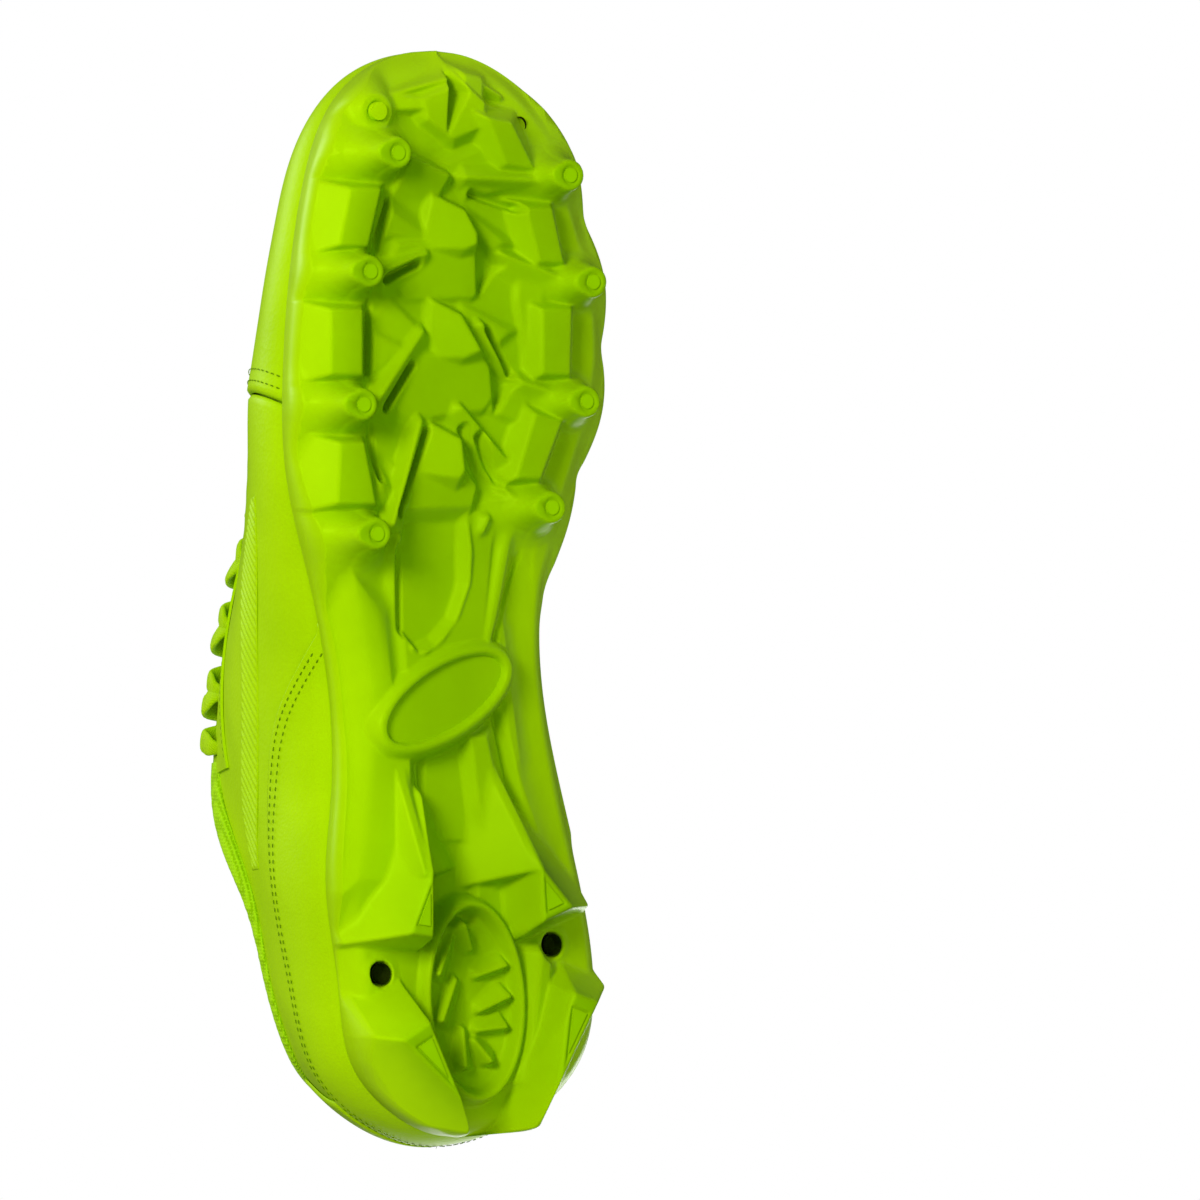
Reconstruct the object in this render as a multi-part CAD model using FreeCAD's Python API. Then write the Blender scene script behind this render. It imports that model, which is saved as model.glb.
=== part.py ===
import FreeCAD
import Part
import math
import os

# Soccer cleat, right shoe. Millimetres. +X to the toe, +Y to the inner (medial) side, +Z up.
# The shoe stands on its stud tips at z = 0.

V = FreeCAD.Vector

# ---- driving dimensions ----
PLATE = 3.0              # thickness of the sole plate
LIP = 1.6                # thickness of the side lip, measured across
FLARE = 0.65             # outward lean of the side wall, mm per mm of height
LEATHER = 1.2            # base panels of the upper
OVERLAY = 0.7            # panels stitched or bonded on top
GAP = 0.12               # glue line between layers
POCKET_GAP = 0.4         # glue line between the upper and the sole's lip
SOFT_GAP = 0.3           # glue line between fabrics and stiffeners
STIFFENER = 0.9          # toe puff and heel counter
LINING = 0.7
BOARD = 1.3              # insole board
FOAM = 3.2               # sockliner foam
COVER = 0.6              # sockliner fabric
LIFT_ROOM = 0.35         # free space round the parts that move
STUD_TIP = 3.8           # radius of a stud at the ground
TIP_PIN = 1.9            # radius of the insert in a stud's tip
PAD_TOP = 5.7            # height of the traction blocks above the ground
EYELET = 2.2             # radius of a lace hole
LACE_WIDTH = 6.0
LACE_THICK = 1.5

# Height of the sole's underside and of the lip's top edge along the shoe: x, z.
FLOOR = [(-150, 24), (-140, 18), (-130, 15), (-115, 13.5), (-85, 13.5), (-60, 14.7), (-30, 15.6),
         (0, 14.6), (25, 12), (45, 11), (100, 11), (120, 12.6), (133, 17), (150, 25)]
LIP_TOP = [(-150, 25), (-138, 22.6), (-120, 20.9), (-85, 20.6), (-60, 21.9), (-30, 22.7), (0, 22),
           (25, 20.6), (45, 20), (100, 20), (120, 21.6), (133, 24.4), (150, 28.5)]

# Cross sections from heel to toe. Lip: x, lateral y, medial y.  Top edge of the upper: x, lateral y,
# medial y, z.  Shape of the wall between them: rise above the lip, reach and drop at the top edge.
ROWS = [
    (-139.7, 13, 13, -133.5, 13, 13, 77, 17, 5, 19),
    (-135, -4.5, 32.5, -129.5, -1, 27, 70.5, 16, 5, 17),
    (-120, -20.5, 48.5, -119, -14, 38.5, 63, 15, 6, 17),
    (-98, -25, 51.8, -98, -20.5, 43, 64.5, 14, 6, 16),
    (-74, -28, 48, -76, -22.5, 39, 70.5, 15, 6, 18),
    (-48, -25.5, 42.2, -54, -21.6, 30.5, 87.5, 22, 9, 26),
    (-22, -26.5, 37.5, -29, -18, 23, 92.5, 26, 13, 20),
    (4, -32.5, 37.5, -4, -15.5, 20.5, 88, 23, 14, 16),
    (30, -40, 45.4, 20, -13, 19, 78, 18, 15, 13),
    (56, -41.6, 53, 36, -9, 16, 71.0, 18, 22, 10),
    (82, -39.8, 51.8, 41, -5, 12.5, 69.0, 15, 32, 10),
    (106, -35.5, 44.8, 42.8, -2.3, 9.8, 68.2, 14.5, 43, 12),
    (124, -28, 37.5, 43.6, -0.4, 7.6, 67.8, 16, 54, 15),
    (137, -13.5, 25, 44, 1.6, 5.6, 67.7, 18, 60, 18),
    (142, 6.5, 6.5, 44.2, 3.5, 3.5, 67.7, 18, 62, 20),
]
HALF = len(ROWS) - 1
LOOP = 2 * HALF          # stations run heel, lateral side, toe, medial side, heel
STEP = 0.02              # step for surface directions
TUCK = -0.03             # the upper's lower edge, behind the lip
ABOVE_LIP = 0.01         # lower edge of panels that end at the lip


# ---- curves of the shoe's form ----
def along_x(points):
    """Smooth height curve whose parameter is x."""
    curve = Part.BSplineCurve()
    curve.interpolate(Points=[V(x, 0, z) for x, z in points], Parameters=[float(x) for x, z in points])
    return curve


def closed_curve(points):
    """Smooth closed curve whose parameter is the station number."""
    curve = Part.BSplineCurve()
    curve.interpolate(Points=points, PeriodicFlag=True, Parameters=[float(k) for k in range(LOOP + 1)])
    return curve


def around(lateral, medial):
    """Station points in order, from the heel along the lateral side and back along the medial side."""
    return [lateral(row) for row in ROWS] + [medial(row) for row in ROWS[HALF - 1:0:-1]]


FLOOR_CURVE = along_x(FLOOR)
LIP_CURVE = along_x(LIP_TOP)
OUTLINE = closed_curve(around(lambda r: V(r[0], r[1], 0), lambda r: V(r[0], r[2], 0)))
TOP_EDGE = closed_curve(around(lambda r: V(r[3], r[4], r[6]), lambda r: V(r[3], r[5], r[6])))
WALL_SHAPE = closed_curve(around(lambda r: V(r[7], r[8], r[9]), lambda r: V(r[7], r[8], r[9])))


def floor_at(x):
    return FLOOR_CURVE.value(x).z


def outward(u):
    """Horizontal direction away from the shoe at a station."""
    point, along = OUTLINE.getD1(u % LOOP)
    return V(along.y, -along.x, 0).normalize()


def side_point(u, z, inset):
    """Point of the flared side of the sole at height z."""
    point = OUTLINE.value(u % LOOP)
    lip = LIP_CURVE.value(point.x).z
    point = point + outward(u) * (FLARE * (z - lip) - inset)
    return V(point.x, point.y, z)


def bare_wall(u, v):
    """Upper's outer face: u runs round the shoe, v from the lip (0) to the top edge (1)."""
    u = u % LOOP
    foot = OUTLINE.value(u)
    foot = V(foot.x, foot.y, LIP_CURVE.value(foot.x).z) - outward(u) * LIP
    top = TOP_EDGE.value(u)
    shape = WALL_SHAPE.value(u)
    lean = foot - top
    lean.z = 0
    lean = (lean + outward(u) * 15).normalize()
    first = foot + (outward(u) * FLARE + V(0, 0, 1)).normalize() * shape.x
    last = top + lean * shape.y - V(0, 0, shape.z)
    if v < 0:
        return foot + (first - foot) * (3 * v)
    w = 1 - v
    return foot * w ** 3 + first * (3 * w * w * v) + last * (3 * w * v * v) + top * v ** 3


def wall(u, v, offset=0.0):
    """Point of the upper, moved out from its face by offset (negative is inwards)."""
    across = bare_wall(u + STEP, v) - bare_wall(u - STEP, v)
    up = bare_wall(u, v + STEP) - bare_wall(u, v - STEP)
    return bare_wall(u, v) + across.cross(up).normalize() * offset


def height_param(u, z):
    """The v at which the upper's face reaches height z."""
    low, high = 0.0, 1.0
    for _ in range(30):
        middle = (low + high) / 2
        if bare_wall(u, middle).z < z:
            low = middle
        else:
            high = middle
    return low


def blend(values, t):
    """Smooth value through evenly spaced key values, t from 0 to 1."""
    place = t * (len(values) - 1)
    k = min(int(place), len(values) - 2)
    f = place - k
    padded = [2 * values[0] - values[1]] + values + [2 * values[-1] - values[-2]]
    a, b, c, d = padded[k:k + 4]
    return b + 0.5 * f * (c - a + f * (2 * a - 5 * b + 4 * c - d + f * (3 * (b - c) + d - a)))


# ---- solids from surfaces ----
def surface_from(grid):
    surface = Part.BSplineSurface()
    surface.interpolate(grid)
    return surface


def close_solid(outer_grid, inner_grid):
    """Closed solid between two point grids with the same layout."""
    outer = surface_from(outer_grid)
    inner = surface_from(inner_grid)
    faces = [outer.toShape(), inner.toShape()]
    picks = (lambda g: g[0], lambda g: g[-1], lambda g: [r[0] for r in g], lambda g: [r[-1] for r in g])
    for pick in picks:
        outer_edge = edge_of(outer, outer_grid, pick)
        inner_edge = edge_of(inner, inner_grid, pick)
        faces.append(Part.makeRuledSurface(outer_edge, inner_edge))
    shell = Part.makeShell(faces)
    shell.sewShape()
    solid = Part.makeSolid(Part.Shell(shell.Faces))
    if solid.Volume < 0:
        solid.reverse()
    return solid


def edge_of(surface, grid, pick):
    """Boundary edge of an interpolated surface, the one that runs through the picked grid points."""
    points = pick(grid)
    u0, u1, v0, v1 = surface.bounds()
    for curve in (surface.uIso(u0), surface.uIso(u1), surface.vIso(v0), surface.vIso(v1)):
        ends = (curve.value(curve.FirstParameter), curve.value(curve.LastParameter))
        if ends[0].distanceToPoint(points[0]) < 0.001 and ends[1].distanceToPoint(points[-1]) < 0.001:
            return curve.toShape()
    raise ValueError("no boundary runs through these points")


def panel(place, inner, outer, across, up):
    """Piece of the upper between two offsets. place(s, t) gives (u, v); offsets may vary with s, t."""
    def grid(offset):
        rows = []
        for i in range(across + 1):
            row = []
            for j in range(up + 1):
                s, t = i / across, j / up
                u, v = place(s, t)
                row.append(wall(u, v, offset(s, t) if callable(offset) else offset))
            rows.append(row)
        return rows
    return close_solid(grid(outer), grid(inner))


def frustum(lower, upper):
    """Solid between two rings of points; every face is flat."""
    def centre(ring):
        return sum(ring, V()) * (1 / len(ring))
    lower = [V(*p) for p in lower]
    upper = [V(*p) for p in upper]
    triangles = []
    count = len(lower)
    for k in range(count):
        a, b = lower[k], lower[(k + 1) % count]
        c, d = upper[k], upper[(k + 1) % count]
        triangles += [(a, b, d), (a, d, c), (centre(lower), b, a), (centre(upper), c, d)]
    faces = [Part.Face(Part.makePolygon([p, q, r, p])) for p, q, r in triangles]
    shell = Part.makeShell(faces)
    shell.sewShape()
    solid = Part.makeSolid(Part.Shell(shell.Faces))
    if solid.Volume < 0:
        solid.reverse()
    return solid


def grown(ring, spread):
    """Outline moved away from its centre by about spread."""
    cx = sum(p[0] for p in ring) / len(ring)
    cy = sum(p[1] for p in ring) / len(ring)
    result = []
    for x, y in ring:
        reach = math.hypot(x - cx, y - cy)
        scale = (reach + spread) / reach
        result.append((cx + (x - cx) * scale, cy + (y - cy) * scale))
    return result


def block(outline, top, spread):
    """Moulded block under the sole, flat at height top, with sloping sides."""
    base = [(x, y, floor_at(x) + 1.4) for x, y in grown(outline, spread)]
    return frustum(base, [(x, y, top) for x, y in outline])


def ridge(start, end, top_start, top_end, left=2.2, right=2.2, width=1.4):
    """Rib with a narrow crest from start to end; left and right are how far its sides spread."""
    dx, dy = end[0] - start[0], end[1] - start[1]
    length = math.hypot(dx, dy)
    nx, ny = -dy / length, dx / length

    def ring(to_left, to_right):
        corners = []
        for (x, y), reach in ((start, -to_right), (end, -to_right), (end, to_left), (start, to_left)):
            corners.append((x + nx * reach, y + ny * reach))
        return corners
    base = [(x, y, floor_at(x) + 1.4) for x, y in ring(left, right)]
    heights = (top_start, top_end, top_end, top_start)
    crest = [(x, y, z) for (x, y), z in zip(ring(width / 2, width / 2), heights)]
    return frustum(base, crest)


# ---- sole plate ----
def flared_block(inset, low=6.0, high=34.0):
    """Solid inside the flared side wall, between two heights."""
    def ring(z):
        stations = [k / 2 for k in range(2 * LOOP + 1)]
        curve = Part.BSplineCurve()
        curve.interpolate(Points=[side_point(u, z, inset) for u in stations[:-1]], PeriodicFlag=True,
                          Parameters=stations)
        return Part.Wire(curve.toShape())
    return Part.makeLoft([ring(low), ring(high)], True, True)


def slab(lower, upper):
    """Full-width slab between two height curves, each a list of (x, z)."""
    bottom = along_x(lower).toShape()
    top = along_x(upper).toShape()
    ends = [Part.makeLine(V(lower[k][0], 0, lower[k][1]), V(upper[k][0], 0, upper[k][1])) for k in (0, -1)]
    face = Part.Face(Part.Wire(Part.__sortEdges__([bottom, top] + ends)))
    face.translate(V(0, -80, 0))
    return face.extrude(V(0, 160, 0))


def raised(height):
    return [(x, z + height) for x, z in FLOOR]


def bed_layer(low, high, inset):
    """Layer that follows the sole's floor, between two heights above it."""
    return slab(raised(low), raised(high)).common(flared_block(inset, 8.0))


def stud(x, y, side):
    """Horn-shaped stud: round at the tip, flaring towards the edge of the sole."""
    wires = []
    for z, radius, shift in ((0, 0, 0), (3.5, 0.5, 0.1), (7, 1.7, 0.5), (10.5, 3.6, 1.2), (14, 6, 2.2)):
        circle = Part.makeCircle(STUD_TIP + radius, V(x - 0.3 * shift, y + 0.5 * side * shift, z))
        wires.append(Part.Wire(circle))
    return Part.makeLoft(wires, True, False)


STUDS = [(114, -18.5), (83.5, -26.7), (49.5, -28.7), (16.5, -24.7),
         (109.5, 33.3), (82, 40.3), (51, 38.3), (23.5, 27.8)]


def studs():
    """Eight forefoot studs with a buttress from each up the side wall."""
    pieces = []
    for x, y in STUDS:
        side = 1 if y > 0 else -1
        pieces.append(stud(x, y, side))
        wall_y = nearest_side(x, side)
        inner = y - side * 3
        low = [(x + 10, inner, 13.5), (x - 10, inner, 13.5), (x - 8, wall_y, 18.5), (x + 8, wall_y, 18.5)]
        crest_y = y + side * 2.5
        high = [(x + 3.2, y, 3), (x - 3.2, y, 3), (x - 3, crest_y, 4.5), (x + 3, crest_y, 4.5)]
        pieces.append(frustum(low, high))
    return pieces


def nearest_side(x, side):
    """The y of the side wall just under the lip."""
    u = min((k / 10 for k in range(10 * LOOP)), key=lambda u: side_distance(u, x, side))
    return side_point(u, 18.5, 0.6).y


def side_distance(u, x, side):
    point = OUTLINE.value(u)
    return abs(point.x - x) + (0 if (point.y - 5) * side > 0 else 1000)


def side_blocks():
    """Flat traction blocks between the studs."""
    outlines = [
        [(106.5, -31), (106.5, -23), (90, -26), (90, -34)],
        [(74, -37), (74, -29), (57, -29), (57, -37)],
        [(40, -34.5), (40, -28), (23, -25), (23, -35)],
        [(101, 23.5), (101, 31.5), (87, 35), (87, 27.5)],
        [(75, 28.5), (75, 37.5), (58, 37), (58, 28.5)],
        [(47, 26), (48, 34), (31, 28), (31, 20.5)],
        [(124, 12), (123, 19), (112, 26), (112, 18)],
    ]
    return [block(outline, PAD_TOP, 3.5) for outline in outlines]


def centre_pads():
    """Wedge-shaped pads down the middle of the forefoot, each on a lower faceted step."""
    pads = [[(104, -3), (100, 5), (93, 9), (90, -4)],
            [(77, -3), (73, 5), (63, 9), (63, -1)],
            [(45, -3), (41, 4), (32, 3), (33, -8)]]
    steps = [[(91, -13), (92, 9), (84, 12), (77, 6), (77, -10), (83, -16)],
             [(63, -16), (63, 12), (55, 16), (46, 9), (46, -9), (54, -19)],
             [(33, -13), (33, 8), (27, 11), (22, 5), (22, -8), (28, -14)]]
    pieces = [block(pad, PAD_TOP - 0.2, 4.0) for pad in pads]
    return pieces + [block(step, 8.8, 3.0) for step in steps]


def fins():
    """Ribs that run from the studs to the middle, with one long slope and one steep one."""
    return [
        ridge((113, -10), (108, 1), 6.0, 7.5, 2.0, 7.0),
        ridge((84, -20), (89, -5), 5.5, 7.5, 6.5, 2.0),
        ridge((50, -22), (69, -7), 5.5, 7.5, 6.5, 2.0),
        ridge((20, -16), (46, -7), 5.5, 7.5, 5.5, 2.0),
        ridge((28, -22), (34, -18), 7.5, 7.5),
        ridge((108, 26), (108, 5), 5.5, 7.5, 2.0, 6.0),
        ridge((83, 33), (89, 17), 5.5, 7.5, 2.0, 6.5),
        ridge((71, 11), (57, 19), 7.5, 6.5, 4.5, 2.0),
        ridge((50, 4), (35, 21), 7.5, 6.5, 4.5, 2.0),
        ridge((22, 10), (30, 20), 7.5, 6.5, 2.0, 4.0),
    ]


def toe_ribs():
    """Star, wings and chevron under the toe, and a small boss."""
    star = [(136.5, 8), (134.5, 12), (130, 9.5), (126, 4), (131.5, 4)]
    return [
        block(star, 9.5, 2.5),
        ridge((134.5, 0), (130.5, -15), 13.0, 11.0, 2.0, 3.5),
        ridge((131, 12), (132, 18), 12.0, 13.0),
        ridge((125, -5), (117, -11), 8.5, 8.0, 2.2, 4.5),
        ridge((125, -5), (118, 2), 8.5, 8.0, 4.5, 2.2),
        ridge((118, 2), (121.5, 10), 8.0, 8.5, 2.2, 3.5),
        Part.makeCylinder(4.5, 6.5, V(125, -19.5, 8.6)),
    ]


def waist_ribs():
    """Rim of the U-shaped recess and the rails between forefoot and heel."""
    u_rib = [(18, -9), (5, -10.5), (-8, -9), (-13, -6), (-12, -1), (-5, 4), (5, 7), (18, 6)]
    pieces = [ridge(a, b, 10.4, 10.4) for a, b in zip(u_rib, u_rib[1:])]
    rails = [((14, -24), (-20, -17)), ((20, 20), (-10, 14)), ((-38, -17), (-62, -15)),
             ((-36, 14), (-60, 20)), ((-14, 16), (-36, 26)), ((-36, 26), (-62, 34))]
    for start, end in rails:
        pieces.append(ridge(start, end, floor_at(start[0]) - 3.4, floor_at(end[0]) - 3.6, 4.5, 4.5, 2.4))
    return pieces


HEEL_TIPS = [
    [(-70, -7.8), (-86, -14.8), (-87, -7.8)],
    [(-69, 24.2), (-80, 34.2), (-83.5, 25.2)],
    [(-113, -16.8), (-129, 0.7), (-108.5, -8.8)],
    [(-101.5, 33.2), (-104.5, 41.7), (-125, 30.2)],
]
HEEL_HOLES = [(-96.5, -16), (-90, 35.7)]


def heel_blades():
    """Four ramped blades with triangular tips."""
    bases = [
        [(-40, -14), (-44, -21), (-64, -25), (-88.5, -25), (-89.5, -6), (-64, -3)],
        [(-40, 22), (-46, 32), (-64, 39), (-86, 46), (-88, 25), (-64, 18)],
        [(-99, -20), (-118, -17), (-131, -6), (-135, 6), (-118, 2), (-101, -4)],
        [(-95, 28), (-96, 47), (-112, 47), (-131, 34), (-128, 25), (-108, 25)],
    ]
    pieces = []
    for base, (a, b, c) in zip(bases, HEEL_TIPS):
        ring = []
        for start, end in ((a, b), (b, c), (c, a)):
            ring.append(start)
            ring.append(((start[0] + end[0]) / 2, (start[1] + end[1]) / 2))
        pieces.append(frustum([(x, y, floor_at(x) + 1.4) for x, y in base], [(x, y, 0) for x, y in ring]))
    return pieces


def oval(centre, semi_x, semi_y, turn, low, high):
    """Upright elliptical cylinder; turn is the angle of its long side from +X."""
    ellipse = Part.Edge(Part.Ellipse(V(), max(semi_x, semi_y), min(semi_x, semi_y)))
    solid = Part.Face(Part.Wire(ellipse)).extrude(V(0, 0, high - low))
    solid.rotate(V(), V(0, 0, 1), turn)
    solid.translate(V(centre[0], centre[1], low))
    return solid


BADGE = (-26, 1.6)
BADGE_TURN = 90 - 27.6
WINDOW = (-104, 10.5)


def heel_window():
    """Raised oval rim under the heel with short radial teeth inside."""
    rim = oval(WINDOW, 26.5, 15.5, -4, 11.2, 15.5).cut(oval(WINDOW, 24.3, 13.3, -4, 10, 15.6))
    teeth = [((-94, 20), (-97, 12)), ((-103, 21), (-107, 12)), ((-113, 20), (-112, 11)),
             ((-122, 14), (-114, 9)), ((-120, 5), (-112, 6)), ((-108, 0), (-103, 5)),
             ((-96, 0), (-95, 7)), ((-84, 6), (-92, 9))]
    return [rim] + [ridge(a, b, 11.6, 12.6, 2.0, 2.0, 1.2) for a, b in teeth]


def outsole_plate():
    body = slab(FLOOR, LIP_TOP).common(flared_block(0))
    pocket = slab(raised(PLATE), raised(60)).common(flared_block(LIP - POCKET_GAP, 8.0, 44.0))
    badge_rim = oval(BADGE, 21.6, 10.2, BADGE_TURN, 10.6, 17)
    extras = studs() + side_blocks() + centre_pads() + fins() + toe_ribs() + waist_ribs()
    extras += heel_blades() + heel_window() + [badge_rim]
    body = body.fuse(extras)
    body = body.cut(pocket)
    cuts = [oval(BADGE, 19.4, 8.2, BADGE_TURN, 8, 12.2), Part.makeCylinder(2.4, 2.2, V(125, -19.5, 8))]
    cuts += [Part.makeCylinder(2.85, 16, V(x, y, -1)) for x, y in HEEL_HOLES]
    cuts += [Part.makeCylinder(2.0, 3.0, V(123, 25, 10)), Part.makeCylinder(0.9, 3.0, V(120, 30, 10))]
    cuts += [Part.makeCylinder(TIP_PIN, 2.6, V(x, y, -0.1)) for x, y in STUDS]
    cuts += [tip_triangle(tip, -0.1, 2.5, 0.0) for tip in HEEL_TIPS]
    return largest_solid(body.cut(cuts))


def largest_solid(shape):
    return max(shape.Solids, key=lambda s: s.Volume)


def tip_triangle(tip, low, height, gap):
    """Triangular insert on a heel blade."""
    cx = sum(p[0] for p in tip) / 3
    cy = sum(p[1] for p in tip) / 3
    scale = 0.52 - gap * 0.1
    points = [V(cx + (x - cx) * scale, cy + (y - cy) * scale, low) for x, y in tip]
    return Part.Face(Part.makePolygon(points + points[:1])).extrude(V(0, 0, height))


def forefoot_stud_tips():
    return Part.makeCompound([Part.makeCylinder(TIP_PIN - 0.03, 2.45, V(x, y, 0)) for x, y in STUDS])


def heel_stud_tips():
    return Part.makeCompound([tip_triangle(tip, 0, 2.35, 0.3) for tip in HEEL_TIPS])


def midfoot_badge():
    """Blank oval medallion, slightly domed at its edge."""
    return oval(BADGE, 19.35, 8.15, BADGE_TURN, 11.1, 12.15)


def toe_boss_plug():
    return Part.makeCylinder(2.35, 2.0, V(125, -19.5, 8.15))


def insole_board():
    return bed_layer(PLATE + 0.05, PLATE + 0.05 + BOARD, LIP + 0.5)


LINER_INSET = LIP + 3.8 + 1.0
LINER_LOW = PLATE + BOARD + LIFT_ROOM + 0.05


def sockliner_foam():
    return bed_layer(LINER_LOW, LINER_LOW + FOAM, LINER_INSET)


def sockliner_cover():
    return bed_layer(LINER_LOW + FOAM + 0.03, LINER_LOW + FOAM + COVER, LINER_INSET)


# ---- upper ----
INSIDE = -(LEATHER + GAP + STIFFENER + SOFT_GAP)          # outer face of the lining
LINED = INSIDE - LINING                              # inner face of the lining
SEAM = 8.75                                          # station of the vamp seam at the lip


def seam(v):
    """Vamp seam: starts at the lip and slants forward as it climbs."""
    return SEAM + 0.75 * max(v, 0)


def vamp():
    def place(s, t):
        v = TUCK + t * (1 - TUCK)
        front = seam(v) + 0.01
        return front + s * (LOOP - 2 * front), v
    return panel(place, -LEATHER, 0, 56, 26)


def quarter(side):
    """Side panel from the heel centre to the vamp seam."""
    def place(s, t):
        v = TUCK + t * (1 - TUCK)
        return side * (0.01 + s * (seam(v) - 0.02)) % LOOP, v
    return panel(place, -LEATHER, 0, 44, 22)


def ankle_limit(u):
    """Lower edge of the heel overlay's free side: v at a station counted from the heel."""
    heights = [36, 36.5, 38, 41, 45, 46, 41.5, 22]
    return max(0.02, height_param(u, blend(heights, min(abs(u) / 6.6, 1.0))))


def heel_overlay():
    def place(s, t):
        u = -6.6 + 13.2 * s
        return u % LOOP, ABOVE_LIP + t * (ankle_limit(u) - ABOVE_LIP)
    return panel(place, GAP, GAP + OVERLAY, 52, 8)


def heel_tab():
    def place(s, t):
        u = -1.5 + 3.0 * s
        low = ankle_limit(u) + 0.02
        return u % LOOP, low + t * (1 - low)
    return panel(place, GAP, GAP + OVERLAY + 0.3, 16, 10)


def eyestay(side):
    def place(s, t):
        u = 5.3 + 4.9 * s
        low = 0.76 + 0.08 * s
        return side * u % LOOP, low + t * (1.0 - low)
    return panel(place, GAP, GAP + OVERLAY, 26, 5)


BAND_LOW = [0.69, 0.53, 0.42, 0.36, 0.335, 0.31, 0.285]      # v at the ribbed band's edges, rear to front
BAND_HIGH = [0.80, 0.71, 0.575, 0.495, 0.487, 0.50, 0.36]


def rib_band(side):
    def place(s, t):
        low, high = blend(BAND_LOW, s), blend(BAND_HIGH, s)
        return side * (4.2 + 3.75 * s) % LOOP, low + t * (high - low)
    return panel(place, GAP, GAP + 0.4, 40, 6)


def toe_puff():
    def place(s, t):
        return 10.6 + 6.8 * s, TUCK + t * (0.42 - TUCK)
    return panel(place, -LEATHER - GAP - STIFFENER, -LEATHER - GAP, 32, 12)


def heel_counter():
    def place(s, t):
        u = -4.2 + 8.4 * s
        return u % LOOP, TUCK + t * (0.55 - 0.2 * abs(2 * s - 1) ** 2 - TUCK)
    return panel(place, -LEATHER - GAP - STIFFENER, -LEATHER - GAP, 32, 12)


def vamp_lining():
    """Lining of the forefoot and waist."""
    def place(s, t):
        return 5.3 + (LOOP - 10.6) * s, TUCK + t * (0.985 - TUCK)
    return panel(place, LINED, INSIDE, 64, 26)


def foam_depth(s, t):
    """Thickness of the collar foam: full in the middle, thin at its edges."""
    return 0.5 + 5.0 * math.sin(math.pi * (0.03 + 0.85 * t)) * math.sin(math.pi * (0.02 + 0.96 * s)) ** 0.4


FOAM_LOW = 0.56          # v at the foam's lower edge
COLLAR_TOP = 0.985       # v at the lining's upper edge


def collar_station(s):
    return (-5.25 + 10.5 * s) % LOOP


def collar_padding():
    def place(s, t):
        return collar_station(s), FOAM_LOW + t * (COLLAR_TOP - FOAM_LOW)
    return panel(place, lambda s, t: INSIDE - foam_depth(s, t), INSIDE, 48, 12)


def collar_lining():
    """Fabric over the foam and down to the insole."""
    def place(s, t):
        return collar_station(s), TUCK + t * (COLLAR_TOP - TUCK)

    def face(s, t):
        up = (TUCK + t * (COLLAR_TOP - TUCK) - FOAM_LOW) / (COLLAR_TOP - FOAM_LOW)
        if up < 0:
            ramp = max(0, 1 + up * 3)
            return INSIDE - foam_depth(s, 0) * ramp * ramp - 2 * GAP
        return INSIDE - foam_depth(s, up) - 2 * GAP
    return panel(place, lambda s, t: face(s, t) - LINING, face, 48, 30)


# ---- tongue ----
TONGUE_ROOM = LINED - LIFT_ROOM - 0.35     # the tongue's face under the lining
TONGUE_FRONT = 45.0
TONGUE_BACK = -50.0
CROWN = along_x([(-50, 103), (-40, 100), (-28, 96.5), (-16, 92.8), (-4, 88.6), (8, 83.3), (20, 77),
                 (32, 70.2), (46, 62.3)])
UNDER_LAST = -44.0       # behind this the tongue stands free of the quarters
UNDER_FIRST = 34.0       # in front of this it runs under the vamp
COLLAR_START = -24.0     # behind this it narrows, clear of the collar's padding


def throat_station(x):
    """Lateral station whose top edge is at x."""
    return min((4.8 + k / 50 for k in range(300)), key=lambda u: abs(TOP_EDGE.value(u).x - x))


def tongue_limit(x, side, hidden):
    """Point under the edge of the throat at x; hidden runs from 0 at the edge to 1 well under it."""
    near = min(max(x, UNDER_LAST), UNDER_FIRST)
    free = max(0, COLLAR_START - x) / (COLLAR_START - TONGUE_BACK)
    point = wall(side * throat_station(near), 1 - hidden * (0.14 - 0.08 * free), TONGUE_ROOM)
    rise = CROWN.value(x).z - CROWN.value(near).z
    inwards = 4.5 * free + 0.1 * max(0, x - UNDER_FIRST)
    return V(x, point.y + side * inwards, point.z + rise)


def tongue_section(x, depth):
    """Points across the tongue at x, depth below its outer face."""
    lateral = [tongue_limit(x, 1, k / 3) for k in (3, 2, 1, 0)]
    medial = [tongue_limit(x, -1, k / 3) for k in (0, 1, 2, 3)]
    crown = V(x, (lateral[-1].y + medial[0].y) / 2, CROWN.value(x).z)
    return [point - V(0, 0, depth) for point in lateral + [crown] + medial]


def tongue_height(x, y):
    """Height of the tongue's outer face."""
    curve = Part.BSplineCurve()
    curve.interpolate(tongue_section(x, 0))
    low, high = curve.FirstParameter, curve.LastParameter
    for _ in range(30):
        middle = (low + high) / 2
        if curve.value(middle).y < y:
            low = middle
        else:
            high = middle
    return curve.value(low).z


def tongue_layer(low, high):
    """Layer of the tongue between two depths below its outer face."""
    count = 20
    stations = [TONGUE_FRONT + (TONGUE_BACK - TONGUE_FRONT) * k / count for k in range(count + 1)]

    def grid(depth):
        return [tongue_section(x, depth) for x in stations]
    return close_solid(grid(low), grid(high))


def tongue_lace_keeper():
    """Two small webbing bars on the tongue that hold the lace in line."""
    def bar(x):
        middle = tongue_section(x, 0)[4].y

        def grid(lift):
            rows = []
            for along in (-1.5, -0.5, 0.5, 1.5):
                places = [(x + along, middle + across) for across in (-6, -3, 0, 3, 6)]
                rows.append([V(px, py, tongue_height(px, py) + lift) for px, py in places])
            return rows
        return close_solid(grid(0.9), grid(0.25))
    return Part.makeCompound([bar(0.5), bar(-16.5)])


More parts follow.
